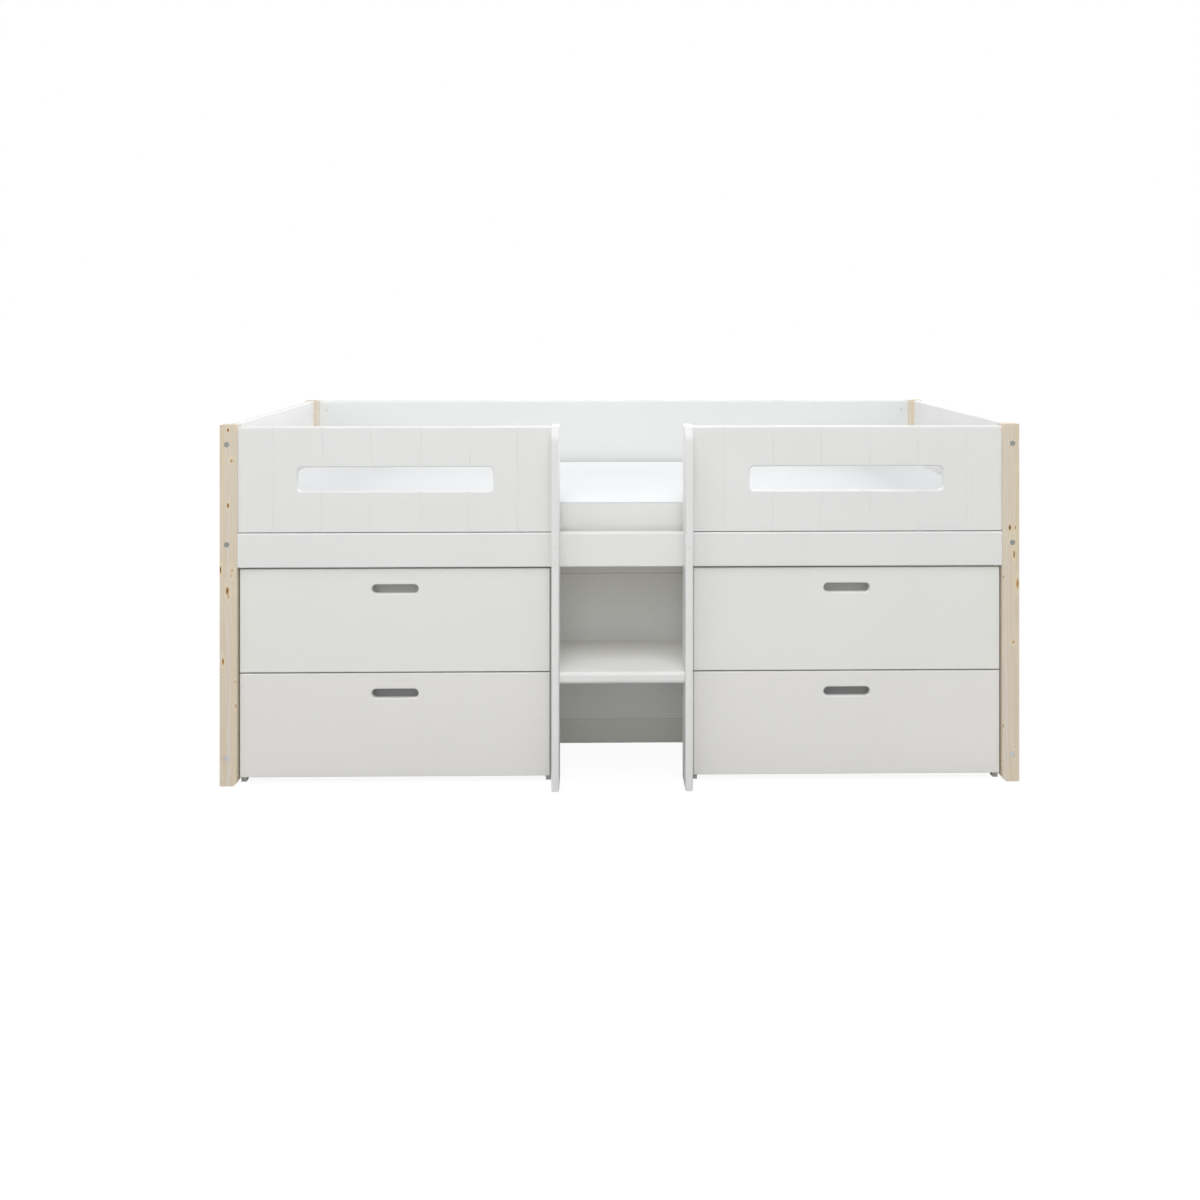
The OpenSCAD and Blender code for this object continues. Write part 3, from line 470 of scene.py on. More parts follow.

# %% [markdown]
# ## White lacquer
#
# The guards, rails, panels, planks, step and drawer fronts are sprayed with a satin white lacquer over
# smooth boards. From close by it has a fine ripple, as orange peel, and its gloss is slightly uneven.
# Its white is not quite full, because a full white would clip in the light. On the real bed the boards are
# probably one white. Here their tones differ by a few steps of painted light and shade, set by comparing
# patches with the picture where the lamps alone left a board too light or too dark: the niche's back and top
# rail are painted lighter, its foot rail is painted darker and the warmest, the rear guard is painted a
# little darker and cooler, the lower drawer fronts are a step darker than the upper ones, and the step's top
# is a fuller white than its edges, as painted light on the faces that look up.

# %% White lacquer
SIDES = ("left", "right")
HEIGHTS = ("upper", "lower")
LACQUERED = [
    "front_bed_rail", "rear_bed_rail", "left_end_panel", "right_end_panel",
    "left_foot_rail", "right_foot_rail", "left_guard", "right_guard",
    "left_ladder_plank", "right_ladder_plank",
]
NICHE_BOARDS = ["niche_back", "niche_top_rail"]


def lacquer_material(name, light, dark, ripple, gloss, seams=(), top=None):
    """Slow clouds of tone, a fine ripple for the spray, a roughness that drifts a little, and a thin shaded
    line at the heights where two boards meet. Faces that look up may get another tone, which is painted
    light."""
    material, x, y, z = begin(name)
    drift = cloud(x * 3, y * 3, z * 3)
    peel = cloud(x * ripple, y * ripple, z * ripple, detail=1.0)
    grit = cloud(x * 60, y * 60, z * 60, detail=3.0)
    colour = drift.ease(0.3, 0.7).between(dark, light)
    height = peel + grit * 0.6
    # If a top tone is given, the faces that look up get it as painted light.
    if top:
        colour = facing(x, "Z").ease(0.7, 0.95).between(colour, top)
    for seam in seams:
        away = (z - seam).math("ABSOLUTE", z - seam)
        joint = 1 - away.ease(0.3 * MM, 1.3 * MM)
        colour = (joint * 0.6).between(colour, paint(120, 118, 110))
        height = height - joint * 4
    return close(material, colour, gloss + grit * 0.08, height, 0.03 * MM, {"IOR": 1.48})


RIPPLE = 420
GLOSS = 0.44
BOARD_TONES = {
    "white_lacquer": (paint(234, 234, 233), paint(232, 232, 231), LACQUERED),
    "upper_front_lacquer": (
        paint(234, 235, 230), paint(232, 233, 228), [f"upper_{side}_drawer_front" for side in SIDES]
    ),
    # The lower drawer fronts are a step darker than the upper ones: painted shade.
    "lower_front_lacquer": (
        paint(233, 232, 230), paint(231, 230, 227), [f"lower_{side}_drawer_front" for side in SIDES]
    ),
    # The foot rail is darker and warmer than the other boards: painted shade.
    "foot_rail_lacquer": (paint(230, 230, 223), paint(227, 227, 220), ["niche_foot_rail"]),
    # The rear guard is a little darker and cooler: painted shade.
    "rear_guard_lacquer": (paint(231, 233, 232), paint(229, 231, 230), ["rear_guard"]),
}
for name, (light, dark, boards) in BOARD_TONES.items():
    dress(lacquer_material(name, light, dark, RIPPLE, GLOSS), *boards)
# The step's top is painted a fuller white than its edges: painted light.
step_lacquer = lacquer_material(
    "step_lacquer", paint(232, 232, 231), paint(230, 230, 229), RIPPLE, GLOSS, top=paint(248, 249, 248)
)
dress(step_lacquer, "ladder_step")
niche_seams = [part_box("niche_back")[0].z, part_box("niche_back")[1].z]
# The niche's back and top rail are lighter than the other boards: painted light.
dress(
    lacquer_material("niche_lacquer", paint(238, 239, 238), paint(235, 236, 234), RIPPLE, 0.4, niche_seams),
    *NICHE_BOARDS
)

# %% [markdown]
# ## Chest boards, backs and drawer bottoms
#
# The chests are foil-covered boards with a fine pearl pattern. Their backs and the drawer bottoms are thin
# white hardboard: smooth in front, with the screen pattern of the press on the rear.

# %% Chest boards
CHEST_BOARDS = [
    f"{side}_chest_{board}" for side in SIDES for board in ("outer_side", "inner_side", "top", "base")
]
HARDBOARD = [
    "left_chest_back", "right_chest_back",
    *[f"{height}_{side}_drawer_bottom" for height in HEIGHTS for side in SIDES],
]
SCREEN_PITCH = 1.8 * MM


def hardboard_material():
    """White board with a screen pattern, the product of two sine waves, on its rear and lower faces."""
    material, x, y, z = begin("white_hardboard")
    speck = cloud(x * 300, y * 300, z * 300, detail=3.0)
    turn = 2 * math.pi / SCREEN_PITCH
    wave_x = (x * turn).math("SINE", x * turn)
    other = y + z
    wave_z = (other * turn).math("SINE", other * turn)
    rear = facing(x, "Y").ease(0.5, 0.9) + (1 - facing(x, "Z").ease(-0.9, -0.5))
    screen = wave_x * wave_z * rear
    drift = cloud(x * 5, y * 5, z * 5)
    colour = drift.between(paint(226, 225, 220), paint(231, 230, 226))
    colour = (rear * (0.3 - screen * 0.2)).between(colour, paint(205, 201, 190))
    return close(material, colour, 0.5 + speck * 0.15, speck * 0.4 + screen, 0.12 * MM)


dress(lacquer_material("pearl_foil", paint(232, 232, 229), paint(229, 229, 225), 900, 0.42), *CHEST_BOARDS)
dress(hardboard_material(), *HARDBOARD)

# %% [markdown]
# ## Steel, plastic and beech
#
# The connector bolts and screws are zinc plated: metal with a fine sparkle and slow patches of bloom, with a
# paler tone near the feet that is painted light. The barrel nuts are a pale nickel. The runners are sheet
# steel under a white powder coat with a sandy bump. The glides are pale grey nylon, the plugs are white
# plastic, and the dowels are beech with short dark flecks.

# %% Metal and plastic
FOOT_HEIGHT = 150 * MM
FOOT_BLEND = 50 * MM


def zinc_material(name, dark, light, painted_foot_light=None):
    """Metal with a fine sparkle and slow patches of bloom, and below FOOT_HEIGHT a paler tone of painted
    light if one is given."""
    material, x, y, z = begin(name)
    spots = cloud(x * 900, y * 900, z * 900, detail=3.0)
    bloom = cloud(x * 120, y * 120, z * 120)
    colour = bloom.between(dark, light)
    # Below FOOT_HEIGHT the metal gets a paler tone: painted light.
    if painted_foot_light:
        colour = z.ease(FOOT_HEIGHT, FOOT_HEIGHT + FOOT_BLEND).between(painted_foot_light, colour)
    return close(material, colour, 0.3 + spots * 0.22, spots, 0.02 * MM, {"Metallic": 1.0})


def sandy_material(name, light, dark, gloss, rise_mm):
    """Plastic or powder coat: specks of two near tones and a fine even bump."""
    material, x, y, z = begin(name)
    sand = cloud(x * 1100, y * 1100, z * 1100, detail=2.0)
    patch = cloud(x * 40, y * 40, z * 40)
    colour = (patch * 0.6 + sand * 0.4).between(dark, light)
    return close(material, colour, gloss + sand * 0.12, sand, rise_mm * MM)


def beech_material():
    material, x, y, z = begin("beech_dowels")
    fleck = cloud(x * 90, y * 1100, z * 1100, detail=1.0).ease(0.6, 0.7)
    tone = cloud(x * 10, y * 300, z * 300)
    colour = tone.between(paint(212, 176, 132), paint(226, 195, 154))
    colour = (fleck * 0.5).between(colour, paint(166, 118, 76))
    return close(material, colour, 0.55 + fleck * 0.1, tone - fleck, 0.05 * MM)


# The third tone is painted light on the bolts near the feet.
zinc = zinc_material("zinc_plated_steel", paint(150, 153, 150), paint(176, 178, 175), paint(214, 215, 217))
nickel = zinc_material("pale_nickel", paint(216, 217, 215), paint(226, 227, 225))
powder_coat = sandy_material("white_powder_coat", paint(226, 226, 222), paint(214, 214, 210), 0.42, 0.03)
dress(zinc, "frame_bolts", "ladder_bolts", "ladder_screws")
dress(nickel, "barrel_nuts")
dress(
    powder_coat, "left_chest_runners", "right_chest_runners",
    *[f"{height}_{side}_drawer_runners" for height in HEIGHTS for side in SIDES],
)
grey_nylon = sandy_material("grey_nylon", paint(214, 214, 208), paint(198, 198, 192), 0.45, 0.04)
plug_plastic = sandy_material("white_plug_plastic", paint(232, 232, 229), paint(224, 224, 220), 0.35, 0.02)
dress(grey_nylon, "chest_glides")
dress(plug_plastic, "screw_plugs")
dress(beech_material(), "guard_dowels")

# %% [markdown]
# ## Meshes from arrays
#
# A new piece is a grid of points: rings of a profile carried along a path. numpy works out all points at
# once, and one helper turns the grid into quads, closed around the ring and, where wanted, along the path.

# %% Grids to meshes


def grid_faces(rows, columns, close_rows=False):
    """Quads between neighbouring rings. Point (i, j) has number i * columns + j, and j wraps round."""
    last = rows if close_rows else rows - 1
    i, j = np.meshgrid(np.arange(last), np.arange(columns), indexing="ij")
    up = (i + 1) % rows
    right = (j + 1) % columns
    quads = np.stack([i * columns + j, i * columns + right, up * columns + right, up * columns + j], axis=-1)
    return quads.reshape(-1, 4)


def make_piece(name, points, faces, material, body):
    """A mesh object at the origin from points and faces, riding on a body."""
    mesh = bpy.data.meshes.new(name)
    mesh.from_pydata(np.asarray(points).tolist(), [], [list(map(int, face)) for face in faces])
    mesh.materials.append(material)
    mesh.shade_smooth()
    piece = bpy.data.objects.new(name, mesh)
    scene.collection.objects.link(piece)
    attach(piece, body)
    print(name, "points:", len(points))
    return piece


# %% [markdown]
# ## The mattress
#
# The mattress is foam in a sewn cover: a top panel, a bottom panel and a side band, joined by two seams.
# The seams hold the cover in, and the foam pushes the panels out between them. Across the bed its band
# bulges to 3 mm more than the width of the CAD model. Along the bed it reaches to half a millimetre from
# the end panels, because through the windows the picture shows the cover right up to them.
# It starts a little smaller than that, its sides drawn in between the corners, and a cloth simulation with
# inner pressure blows it up while the two seam lines stay pinned. The simulation alone would move points
# by centimetres. Foam is firm, so each point keeps its direction but moves at most MOST_MOVE. A voxel
# remesh would round the crisp seams away, so the shell is made of even quads from the start: two panels
# and the band between them, with narrow rows beside the seams.

# %% Grid of a panel
mattress_low, mattress_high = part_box("mattress")
mattress_middle = (mattress_low + mattress_high) / 2
SHRINK = 2 * MM
END_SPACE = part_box("right_end_panel")[0].x
HALF_LENGTH = END_SPACE - SHRINK
HALF_WIDTH = (mattress_high.y - mattress_low.y) / 2 - SHRINK
CROWN = 5 * MM
EDGE_DROP = 6 * MM
EDGE_HEIGHT = mattress_high.z - mattress_low.z - EDGE_DROP
CORNER = 45 * MM
SIDE_PULL = 3 * MM
SIDE_PULL_POWER = 6
END_PULL = 1 * MM
END_PULL_POWER = 12
BAND_BULGE = 2 * MM
QUAD = 17 * MM
BESIDE_SEAM = np.array([0, 3, 8, 16]) * MM


def stations(half):
    """Places from -half to half: narrow steps beside the seam, and even ones of about QUAD between."""
    inner = half - BESIDE_SEAM[-1] - QUAD
    count = round(2 * inner / QUAD)
    middle = np.linspace(-inner, inner, count + 1)
    return np.concatenate([-half + BESIDE_SEAM, middle, (half - BESIDE_SEAM)[::-1]])


def rounded(x, y):
    """Turns the corners of a rectangle round. In the corner square, a and b from 0 to 1 become
    a * sqrt(1 - b*b / 2) and b * sqrt(1 - a*a / 2), which takes the square to a quarter disc. Then each side
    is pulled in by its pull times one minus the square of the place along it, most at the border."""
    a = np.clip((np.abs(x) - (HALF_LENGTH - CORNER)) / CORNER, 0, 1)
    b = np.clip((np.abs(y) - (HALF_WIDTH - CORNER)) / CORNER, 0, 1)
    round_a = a * np.sqrt(1 - b**2 / 2)
    round_b = b * np.sqrt(1 - a**2 / 2)
    new_x = x - np.sign(x) * (a - round_a) * CORNER
    new_y = y - np.sign(y) * (b - round_b) * CORNER
    draw_y = SIDE_PULL * (1 - (x / HALF_LENGTH) ** 2) * (np.abs(y) / HALF_WIDTH) ** SIDE_PULL_POWER
    draw_x = END_PULL * (1 - (y / HALF_WIDTH) ** 2) * (np.abs(x) / HALF_LENGTH) ** END_PULL_POWER
    return new_x - np.sign(x) * draw_x, new_y - np.sign(y) * draw_y


panel_x, panel_y = np.meshgrid(stations(HALF_LENGTH), stations(HALF_WIDTH), indexing="ij")
COLUMNS, ROWS = panel_x.shape
flat_x, flat_y = rounded(panel_x, panel_y)
print("panel of the cover:", COLUMNS, "x", ROWS, "points")

# %% The starting shell
BAND_SHARES = np.array([0.03, 0.08, 0.18, 0.32, 0.5, 0.68, 0.82, 0.92, 0.97])
PRESSURE = 4.0
MOST_MOVE = 4 * MM
CROWN_POWER_TO_ENDS = 60
CROWN_POWER_TO_SIDES = 6


def border():
    """Numbers of a panel's border points, once round against the clock seen from above."""
    number = np.arange(COLUMNS * ROWS).reshape(COLUMNS, ROWS)
    return np.concatenate([number[:-1, 0], number[-1, :-1], number[:0:-1, -1], number[0, :0:-1]])


def panel_faces(first, upward):
    """Quads of a panel whose points start at a number."""
    number = np.arange(COLUMNS * ROWS).reshape(COLUMNS, ROWS) + first
    quads = np.stack([number[:-1, :-1], number[1:, :-1], number[1:, 1:], number[:-1, 1:]], axis=-1)
    quads = quads.reshape(-1, 4)
    return quads if upward else quads[:, ::-1]


def starting_shell():
    """Top panel with a crown that falls off with the sixth power towards its long borders and only near its
    ends, flat bottom panel, and the side band, whose rows bulge out by a parabola between the two seams."""
    share_x = np.abs(panel_x / HALF_LENGTH) ** CROWN_POWER_TO_ENDS
    share_y = np.abs(panel_y / HALF_WIDTH) ** CROWN_POWER_TO_SIDES
    top_z = EDGE_HEIGHT + CROWN * (1 - share_x) * (1 - share_y)
    top = np.stack([flat_x, flat_y, top_z], axis=-1).reshape(-1, 3)
    bottom = np.stack([flat_x, flat_y, np.zeros_like(flat_x)], axis=-1).reshape(-1, 3)
    ring = border()
    edge = top[ring, :2]
    along = np.roll(edge, -1, axis=0) - np.roll(edge, 1, axis=0)
    outward = np.column_stack([along[:, 1], -along[:, 0]])
    outward /= np.linalg.norm(outward, axis=1, keepdims=True)
    bulge = BAND_BULGE * 4 * BAND_SHARES * (1 - BAND_SHARES)
    band_xy = edge[None] + outward[None] * bulge[:, None, None]
    band_z = np.broadcast_to((BAND_SHARES * EDGE_HEIGHT)[:, None, None], (*band_xy.shape[:2], 1))
    band = np.concatenate([band_xy, band_z], axis=2).reshape(-1, 3)
    points = np.concatenate([top, bottom, band])
    count = len(ring)
    size = COLUMNS * ROWS
    rows = [ring + size]
    rows += [np.arange(count) + 2 * size + row * count for row in range(len(BAND_SHARES))]
    rows.append(ring)
    lower = np.stack(rows[:-1])
    upper = np.stack(rows[1:])
    band_faces = np.stack(
        [lower, np.roll(lower, -1, axis=1), np.roll(upper, -1, axis=1), upper], axis=-1
    ).reshape(-1, 4)
    faces = np.concatenate([panel_faces(0, True), panel_faces(size, False), band_faces])
    pinned = np.concatenate([ring, ring + size])
    return points + np.array([mattress_middle.x, mattress_middle.y, mattress_low.z]), faces, pinned


def points_of(mesh):
    """The mesh's points as an array with a row for each."""
    co = np.empty(len(mesh.vertices) * 3, np.float32)
    mesh.vertices.foreach_get("co", co)
    return co.reshape(-1, 3).astype(float)


# %% [markdown]
# ### Cover fabric
#
# The cover is a dense white knit with a cool tint on top, and its side band is a plainer, warmer cloth.
# Its loops are about two millimetres wide: two sine waves across each other make the bump, and the
# colour follows them only a little.

# %% Cover fabric
KNIT_PITCH = 2.2 * MM
LOOP_SLANT = 0.3 * MM
LOOPS_TO_RIBS = 0.7


def knit_material(name):
    """Knit: ribs along the bed, each rib a row of slanted loops, from two sine waves."""
    material, x, y, z = begin(name)
    turn = 2 * math.pi / KNIT_PITCH
    around = y + z
    rib = (around * turn).math("SINE", around * turn)
    slanted = (x + rib * LOOP_SLANT) * turn * LOOPS_TO_RIBS
    loops = slanted.math("SINE", slanted)
    knit = rib * 0.6 + loops * 0.4
    slub = cloud(x * 14, y * 90, z * 90, detail=3.0)
    soft = cloud(x * 4, y * 4, z * 4)
    band = 1 - z.ease(mattress_low.z + EDGE_HEIGHT - 3 * MM, mattress_low.z + EDGE_HEIGHT - 1 * MM)
    top_tone = soft.between(paint(236, 238, 240), paint(239, 241, 243))
    colour = band.between(top_tone, paint(232, 232, 229))
    colour = ((0.5 - knit * 0.5) * 0.12 + slub * 0.08).between(colour, paint(210, 213, 219))
    return close(
        material, colour, 0.82 + slub * 0.1, knit * 0.5 + slub * 0.5, 0.2 * MM, {"Sheen Weight": 0.2}
    )


cover_knit = knit_material("mattress_cover_knit")

# %% Blow the mattress up
CLOTH_FRAMES = 20
shell_points, shell_faces, seam_points = starting_shell()
mattress = make_piece("padded_mattress", shell_points, shell_faces, cover_knit, "bed")


def blow_up(piece, pinned):
    """Cloth simulation with inner pressure: the pinned points hold and the others move out."""
    group = piece.vertex_groups.new(name="seams")
    group.add([int(point) for point in pinned], 1.0, "REPLACE")
    cloth = piece.modifiers.new("cover", "CLOTH")
    cloth.settings.vertex_group_mass = group.name
    cloth.settings.use_pressure = True
    cloth.settings.uniform_pressure_force = PRESSURE
    cloth.settings.effector_weights.gravity = 0
    for frame_number in range(1, CLOTH_FRAMES + 1):
        scene.frame_set(frame_number)
    moved = points_of(piece.evaluated_get(bpy.context.evaluated_depsgraph_get()).data)
    piece.modifiers.clear()
    piece.vertex_groups.clear()
    scene.frame_set(1)
    return moved


new_points = blow_up(mattress, seam_points)
move = new_points - shell_points
length = np.linalg.norm(move, axis=1, keepdims=True)
most, average = float(length.max()) / MM, float(length.mean()) / MM
print(f"cloth alone moves points by up to {most:.1f} mm, on average {average:.2f} mm")
new_points = shell_points + move * np.minimum(1, MOST_MOVE / np.maximum(length, 1e-9))

# %% [markdown]
# The underside lies flat on the slats, and the ends stand flat just inside the end panels. The top has the
# slow unevenness of foam that has been slept on, a sum of a few long waves. One level of subdivision
# smooths the quads, and the seams stay crisp because the rows beside them are narrow.

# %% Settle and smooth the mattress
WAVE_HEIGHT = 0.5 * MM
WAVE_COUNT = 6
FASTEST_WAVE = 9
TOP_ROOM = 2 * MM
END_GAP = 0.5 * MM
waves = np.random.default_rng(5)
level = np.zeros(len(new_points))
for _ in range(WAVE_COUNT):
    direction = waves.uniform(-FASTEST_WAVE, FASTEST_WAVE, 2)
    level += np.sin(new_points[:, :2] @ direction + waves.uniform(0, 2 * np.pi)) * WAVE_HEIGHT / 3
share_up = (shell_points[:, 2] - mattress_low.z) / EDGE_HEIGHT
new_points[:, 2] += level * np.clip((share_up - 1.0) * EDGE_HEIGHT / CROWN, 0, 1)
new_points[:, 2] = np.clip(new_points[:, 2], mattress_low.z, mattress_high.z + TOP_ROOM)
new_points[:, 0] = np.clip(new_points[:, 0], END_GAP - END_SPACE, END_SPACE - END_GAP)
print("mattress in mm:", np.round(np.ptp(new_points, axis=0) / MM, 1).tolist())
mattress.data.vertices.foreach_set("co", new_points.astype(np.float32).ravel())
smooth = mattress.modifiers.new("smooth", "SUBSURF")
smooth.levels = 1
smooth.render_levels = 1
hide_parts("mattress")

# %% Seams of the cover
SEAM_SIDES = 8
SEAM_RADIUS = 1.3 * MM


def seam_cord(name, height):
    """A thin sewn cord: a circle carried along the panel's border at a height over the mattress's foot."""
    edge = np.stack([flat_x.ravel()[border()], flat_y.ravel()[border()]], axis=1)
    along = np.roll(edge, -1, axis=0) - np.roll(edge, 1, axis=0)
    outward = np.column_stack([along[:, 1], -along[:, 0]])
    outward /= np.linalg.norm(outward, axis=1, keepdims=True)
    angle = np.linspace(0, 2 * np.pi, SEAM_SIDES, endpoint=False)
    flat = edge[:, None, :] + outward[:, None, :] * (np.cos(angle) * SEAM_RADIUS)[None, :, None]
    rise = np.broadcast_to((height + np.sin(angle) * SEAM_RADIUS)[None, :, None], (*flat.shape[:2], 1))
    points = np.concatenate([flat, rise], axis=2).reshape(-1, 3)
    faces = grid_faces(len(edge), SEAM_SIDES, close_rows=True)
    place = np.array([mattress_middle.x, mattress_middle.y, mattress_low.z])
    return make_piece(name, points + place, faces, cover_knit, "bed")


seam_cord("mattress_top_seam", EDGE_HEIGHT - 0.5 * MM)
seam_cord("mattress_bottom_seam", SEAM_RADIUS)

# %% [markdown]
# ## Grip cups
#
# Inside each handle slot the picture shows an even grey, so the slot isn't open to the dark drawer. A
# shallow moulded cup sits behind the front, with room for the fingers. It is a tray: its round-ended outline
# runs back from the board's rear face, and curves in to a flat back. Its grey is partly the plastic's own
# colour and partly painted shade of the slot. The upper cups stand in the shadow of the rail and still look
# lighter than the lower ones in the picture, so the upper cups are painted paler, as painted light, and the
# lower ones darker, as painted shade.

# %% Grip cups
CUP_DEPTH = 10 * MM
CUP_WALL = 1.2 * MM
CUP_MARGIN = 1.5 * MM
CUP_FLANGE = 5 * MM
CUP_STEPS = 12
HANDLE_LENGTH = 127 * MM
HANDLE_HEIGHT = 29 * MM
HANDLE_DROP = 53 * MM


def stadium(half_length, half_height, steps):
    """Outline with round ends: two half circles joined by straight lines, once round."""
    angle = np.linspace(-np.pi / 2, np.pi / 2, steps)
    across = half_length - half_height + half_height * np.cos(angle)
    right = np.stack([across, half_height * np.sin(angle)], axis=1)
    return np.concatenate([right, -right])


# Growth of the outline and depth behind the board, from the flange over the outside to the inside.
CUP_PROFILE = [
    (CUP_MARGIN + CUP_FLANGE, 0.0),
    (CUP_MARGIN + CUP_FLANGE, CUP_WALL),
    (CUP_MARGIN + CUP_WALL, CUP_WALL * 1.5),
    (CUP_WALL, CUP_DEPTH * 0.75),
    (-2 * MM, CUP_DEPTH - CUP_WALL / 2),
    (-8 * MM, CUP_DEPTH),
    (-8 * MM, CUP_DEPTH - CUP_WALL),
    (-3 * MM, CUP_DEPTH - CUP_WALL * 1.4),
    (0.0, CUP_DEPTH * 0.7),
    (CUP_MARGIN, 0.0),
]
OUTSIDE_BACK = 5
INSIDE_BACK = 6


def cup_points(middle_x, middle_z, face_y):
    """The outline once for each pair of the profile, grown and set back as the pair says."""
    rings = []
    for growth, depth in CUP_PROFILE:
        flat = stadium(HANDLE_LENGTH / 2 + growth, HANDLE_HEIGHT / 2 + growth, CUP_STEPS)
        y = np.full(len(flat), face_y + depth)
        rings.append(np.column_stack([flat[:, 0] + middle_x, y, flat[:, 1] + middle_z]))
    return np.stack(rings)


def grip_cup(body, plastic):
    """A closed tray: quads from ring to ring, closed round the profile, and two flat caps in place of the
    quads between the outside and the inside of its back."""
    low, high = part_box(body + "_front")
    rings = cup_points((low.x + high.x) / 2, high.z - HANDLE_DROP, high.y)
    count, around = rings.shape[:2]
    quads = grid_faces(count, around, close_rows=True)[:, ::-1].reshape(count, around, 4)
    walls = np.delete(quads, OUTSIDE_BACK, axis=0).reshape(-1, 4).tolist()
    ring = np.arange(around)
    caps = [(ring + OUTSIDE_BACK * around)[::-1].tolist(), (ring + INSIDE_BACK * around).tolist()]
    return make_piece(f"{body}_grip_cup", rings.reshape(-1, 3), walls + caps, plastic, body)


# The cups' grey is partly painted shade of the slot: paler on the upper cups as painted light, darker on the
# lower cups.
upper_painted_light_plastic = sandy_material("upper_cup_plastic", paint(188, 188, 185), paint(180, 180, 177), 0.5, 0.05)
lower_painted_shade_plastic = sandy_material("lower_cup_plastic", paint(157, 157, 157), paint(149, 149, 149), 0.5, 0.05)
for body in frame["bodies"]:
    if body.endswith("_drawer"):
        grip_cup(body, upper_painted_light_plastic if body.startswith("upper") else lower_painted_shade_plastic)

# %% [markdown]
# ## Small screws and nails
#
# The hidden sides have the fixings that such a bed has: screws through the ledges into the rails, nails
# round the thin backs, and screws inside each drawer box that hold its front. All are too small for the
# CAD model. Each is a shallow dome with a dimple, turned from a profile, and copies share one mesh.

# %% Screws and nails
HEAD_SIDES = 12
LEDGE_DEPTH = 25 * MM
LEDGE_SCREWS = 7
LEDGE_SCREW_INSET = 90 * MM
NAIL_INSET = 8 * MM
NAILS_ACROSS = 8
NAILS_UP = 6
FRONT_SCREW_INSET = 120 * MM
FRONT_SCREW_RISE = 50 * MM
FRONT_SCREW_DROP = 40 * MM


def dome_profile(radius, height):
    """Radius and height of three rings: the rim, the shoulder and the edge of the dimple."""
    return np.array([[1.0, 0.0], [0.8, 0.75], [0.35, 1.0]]) * np.array([radius, height])


def heads(name, places, toward, radius, height, body, material):
    """Copies of a turned head at the given places, which face the rear where toward is 1 and the front
    where it is -1."""
    angle = np.linspace(0, 2 * np.pi, HEAD_SIDES, endpoint=False)
    rings = [
        np.column_stack([r * np.cos(angle), r * np.sin(angle), np.full(HEAD_SIDES, h)])
        for r, h in dome_profile(radius, height)
    ]
    dimple = [[0.0, 0.0, height * 0.3]]
    foot = [[0.0, 0.0, 0.0]]
    local = np.concatenate(rings + [np.array(dimple), np.array(foot)])
    turned = np.empty_like(local)
    turned[:, 0] = local[:, 0]
    turned[:, 1] = toward * local[:, 2]
    turned[:, 2] = -toward * local[:, 1]
    quads = grid_faces(len(rings), HEAD_SIDES).tolist()
    around = np.arange(HEAD_SIDES)
    following = (around + 1) % HEAD_SIDES
    inner = (len(rings) - 1) * HEAD_SIDES
    top = len(rings) * HEAD_SIDES
    faces = quads + np.stack([inner + around, inner + following, np.full(HEAD_SIDES, top)], 1).tolist()
    faces += np.stack([following, around, np.full(HEAD_SIDES, top + 1)], 1).tolist()
    places = np.asarray(places, float)
    points = (places[:, None, :] + turned[None, :, :]).reshape(-1, 3)
    starts = np.arange(len(places)) * len(local)
    all_faces = [[corner + start for corner in face] for start in starts for face in faces]
    return make_piece(name, points, all_faces, material, body)


def ledge_places():
    """Screw places along the inner face of both ledges, at even steps."""
    low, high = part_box("slat_ledges")
    level_z = low.z + (high.z - low.z) / 2
    steps = np.linspace(low.x + LEDGE_SCREW_INSET, high.x - LEDGE_SCREW_INSET, LEDGE_SCREWS)
    front = [(x, low.y + LEDGE_DEPTH, level_z) for x in steps]
    rear = [(x, high.y - LEDGE_DEPTH, level_z) for x in steps]
    return front, rear


front_places, rear_places = ledge_places()
heads("front_ledge_screws", front_places, 1, 4 * MM, 1 * MM, "bed", zinc)
heads("rear_ledge_screws", rear_places, -1, 4 * MM, 1 * MM, "bed", zinc)


def nail_places(node):
    """Nail places round a chest's back, a little in from its edge."""
    low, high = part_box(node)
    xs = np.linspace(low.x + NAIL_INSET, high.x - NAIL_INSET, NAILS_ACROSS)
    zs = np.linspace(low.z + NAIL_INSET, high.z - NAIL_INSET, NAILS_UP)
    edges = [(x, high.y, z) for x in xs for z in (zs[0], zs[-1])]
    return edges + [(x, high.y, z) for z in zs[1:-1] for x in (xs[0], xs[-1])]


for side in SIDES:
    places = nail_places(f"{side}_chest_back")
    heads(f"{side}_back_nails", places, 1, 2 * MM, 0.5 * MM, "bed", zinc)


def front_screw_places(node):
    """Four screws on the inner face of a drawer box's front wall."""
    low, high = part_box(node)
    inner_y = low.y + BOX_WALL
    xs = (low.x + FRONT_SCREW_INSET, high.x - FRONT_SCREW_INSET)
    zs = (low.z + FRONT_SCREW_RISE, high.z - FRONT_SCREW_DROP)
    return [(x, inner_y, z) for x in xs for z in zs]


for box in BOXES:
    body = box.replace("_box", "")
    heads(f"{body}_front_screws", front_screw_places(box), 1, 4.5 * MM, 2 * MM, body, zinc)

# %% [markdown]
# ## Floor, sky and lamps
#
# The object stands on a pale floor in a white room. For the camera most of the floor's white is its own
# light, and a dark paint adds what the lamps give it, so the floor is nearly white and the shadow under the
# bed stays visible. The sky is white for the camera, mirrors and glass, and dimmer as a lamp. The fronts
# are lit from ahead, the tops from above, and the bright inner sides of the end panels in the picture show
# lamps at both sides.

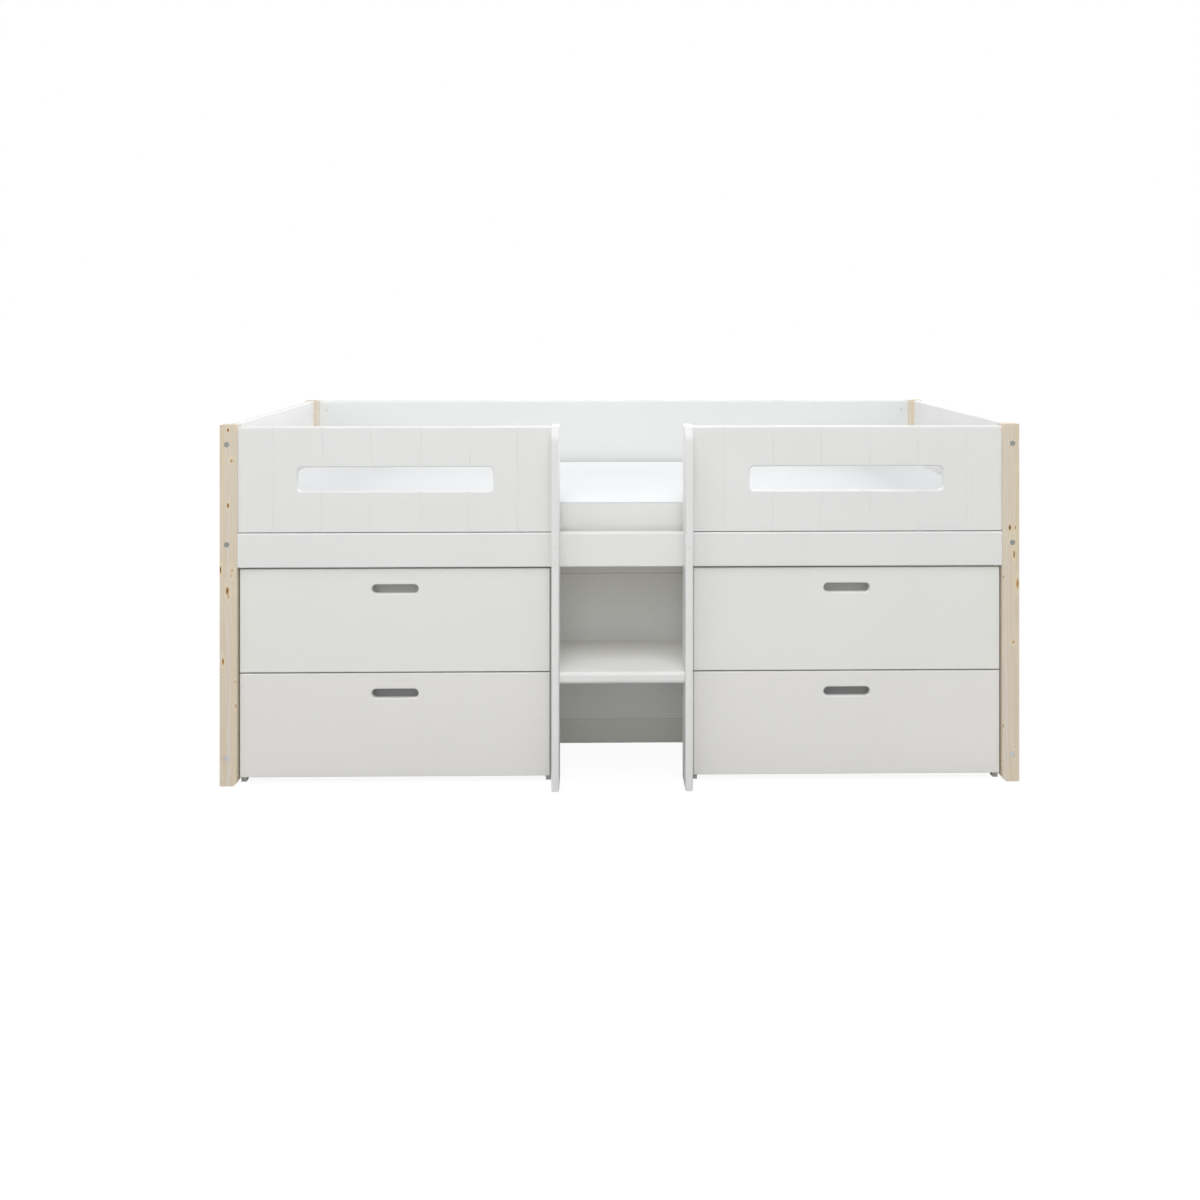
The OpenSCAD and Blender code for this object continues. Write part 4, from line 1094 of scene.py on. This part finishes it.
# %% Floor
FLOOR_HALF = 30.0
NEAR_WHITE = 0.92
FAR_WHITE = 0.985
NEAR_REACH = 1.5
FAR_REACH = 8.0
SHOWN_PAINT = 0.12
floor_mesh = bpy.data.meshes.new("floor")
corners = np.array([[-1, -1, 0], [1, -1, 0], [1, 1, 0], [-1, 1, 0]]) * FLOOR_HALF
floor_mesh.from_pydata(corners.tolist(), [], [[0, 1, 2, 3]])
floor = bpy.data.objects.new("floor", floor_mesh)
scene.collection.objects.link(floor)


def grey(level):
    """A grey of one linear level."""
    return (level, level, level, 1.0)


def floor_material():
    """Lit paint for the light that bounces, and for the camera a darker paint plus white that grows with the
    distance from the bed, so that the far floor meets the white sky."""
    material, x, y, z = begin("floor_paint")
    squared = x * x + y * y
    away = squared.math("SQRT", squared).ease(NEAR_REACH, FAR_REACH)
    white = away.between(grey(NEAR_WHITE), grey(FAR_WHITE))
    start = Signal(material.node_tree)
    seen = start.grow("ShaderNodeLightPath", output="Is Camera Ray")
    bounce = start.grow("ShaderNodeBsdfDiffuse", inputs={"Color": paint(208, 208, 208)})
    shown = start.grow("ShaderNodeBsdfDiffuse", inputs={"Color": grey(SHOWN_PAINT)})
    glow = start.grow("ShaderNodeEmission", inputs={"Color": white, "Strength": 1.0})
    lit = start.grow("ShaderNodeAddShader", inputs={0: shown, 1: glow})
    chosen = start.grow("ShaderNodeMixShader", inputs={0: seen, 1: bounce, 2: lit})
    start.grow("ShaderNodeOutputMaterial", inputs={"Surface": chosen})
    return material


floor_mesh.materials.append(floor_material())
print("floor reaches", FLOOR_HALF, "m to each side")

# %% Sky
SKY_STRENGTH = 0.27
world = bpy.data.worlds.new("studio")
scene.world = world
world.use_nodes = True
world.node_tree.nodes.clear()
sky = Signal(world.node_tree)
ray = sky.grow("ShaderNodeLightPath", output="Is Camera Ray")
seen = ray.math("MAXIMUM", ray, ray.other("Is Glossy Ray"))
seen = seen.math("MAXIMUM", seen, ray.other("Is Transmission Ray"))
dim = sky.grow("ShaderNodeBackground", inputs={"Color": (1, 1, 1, 1), "Strength": SKY_STRENGTH})
white = sky.grow("ShaderNodeBackground", inputs={"Color": (1, 1, 1, 1), "Strength": 1.0})
mixed = sky.grow("ShaderNodeMixShader", inputs={0: seen, 1: dim, 2: white})
sky.grow("ShaderNodeOutputWorld", inputs={"Surface": mixed})
print("sky as a lamp:", SKY_STRENGTH)

# %% [markdown]
# Three lamps stand in front of the bed, from low to high, one on each side, and a weaker one at each front
# corner, whose light the ladder planks shade a little. Each lamp's light on patches of the picture was
# rendered alone, and a least-squares fit gave the powers whose sum comes nearest to the patches. Some were
# then adjusted. The low lamp reaches deepest into the niche, the high one lights the mattress and the step's
# top, and the side lamps reach over the guards to the insides of the end panels. A lamp behind lights the
# back, and over the rear guard also a little of the mattress.

# %% Lamps
LAMP_AIM = (0, 0, 0.5)
FRONT_LAMPS = {
    "low": ((0.0, -5.6, 2.3), 26),
    "middle": ((0.0, -4.3, 4.1), 28),
    "high": ((0.0, -3.0, 5.2), 117),
}
SIDE_LAMPS = {
    "right": ((4.2, 0.4, 2.6), 98),
    "left": ((-4.2, 0.4, 2.4), 66),
    "right_front": ((3.2, -3.4, 2.0), 12),
    "left_front": ((-3.2, -3.4, 2.0), 23),
}
REAR_LAMPS = {"rear": ((0.6, 4.8, 1.8), 80)}
FRONT_LAMP_SIZE = 3.0
SIDE_LAMP_SIZE = 2.0


def soft_lamp(name, place, size, power):
    """A square area lamp that points at the bed's middle."""
    data = bpy.data.lights.new(name, "AREA")
    data.shape = "SQUARE"
    data.size = size
    data.energy = power
    lamp = bpy.data.objects.new(name, data)
    lamp.location = place
    lamp.visible_camera = False
    lamp.rotation_euler = (Vector(LAMP_AIM) - Vector(place)).to_track_quat("-Z", "Y").to_euler()
    scene.collection.objects.link(lamp)
    print(lamp.name, power)


for name, (place, power) in {**FRONT_LAMPS, **REAR_LAMPS}.items():
    soft_lamp(f"{name}_lamp", place, FRONT_LAMP_SIZE, power)
for name, (place, power) in SIDE_LAMPS.items():
    soft_lamp(f"{name}_lamp", place, SIDE_LAMP_SIZE, power)
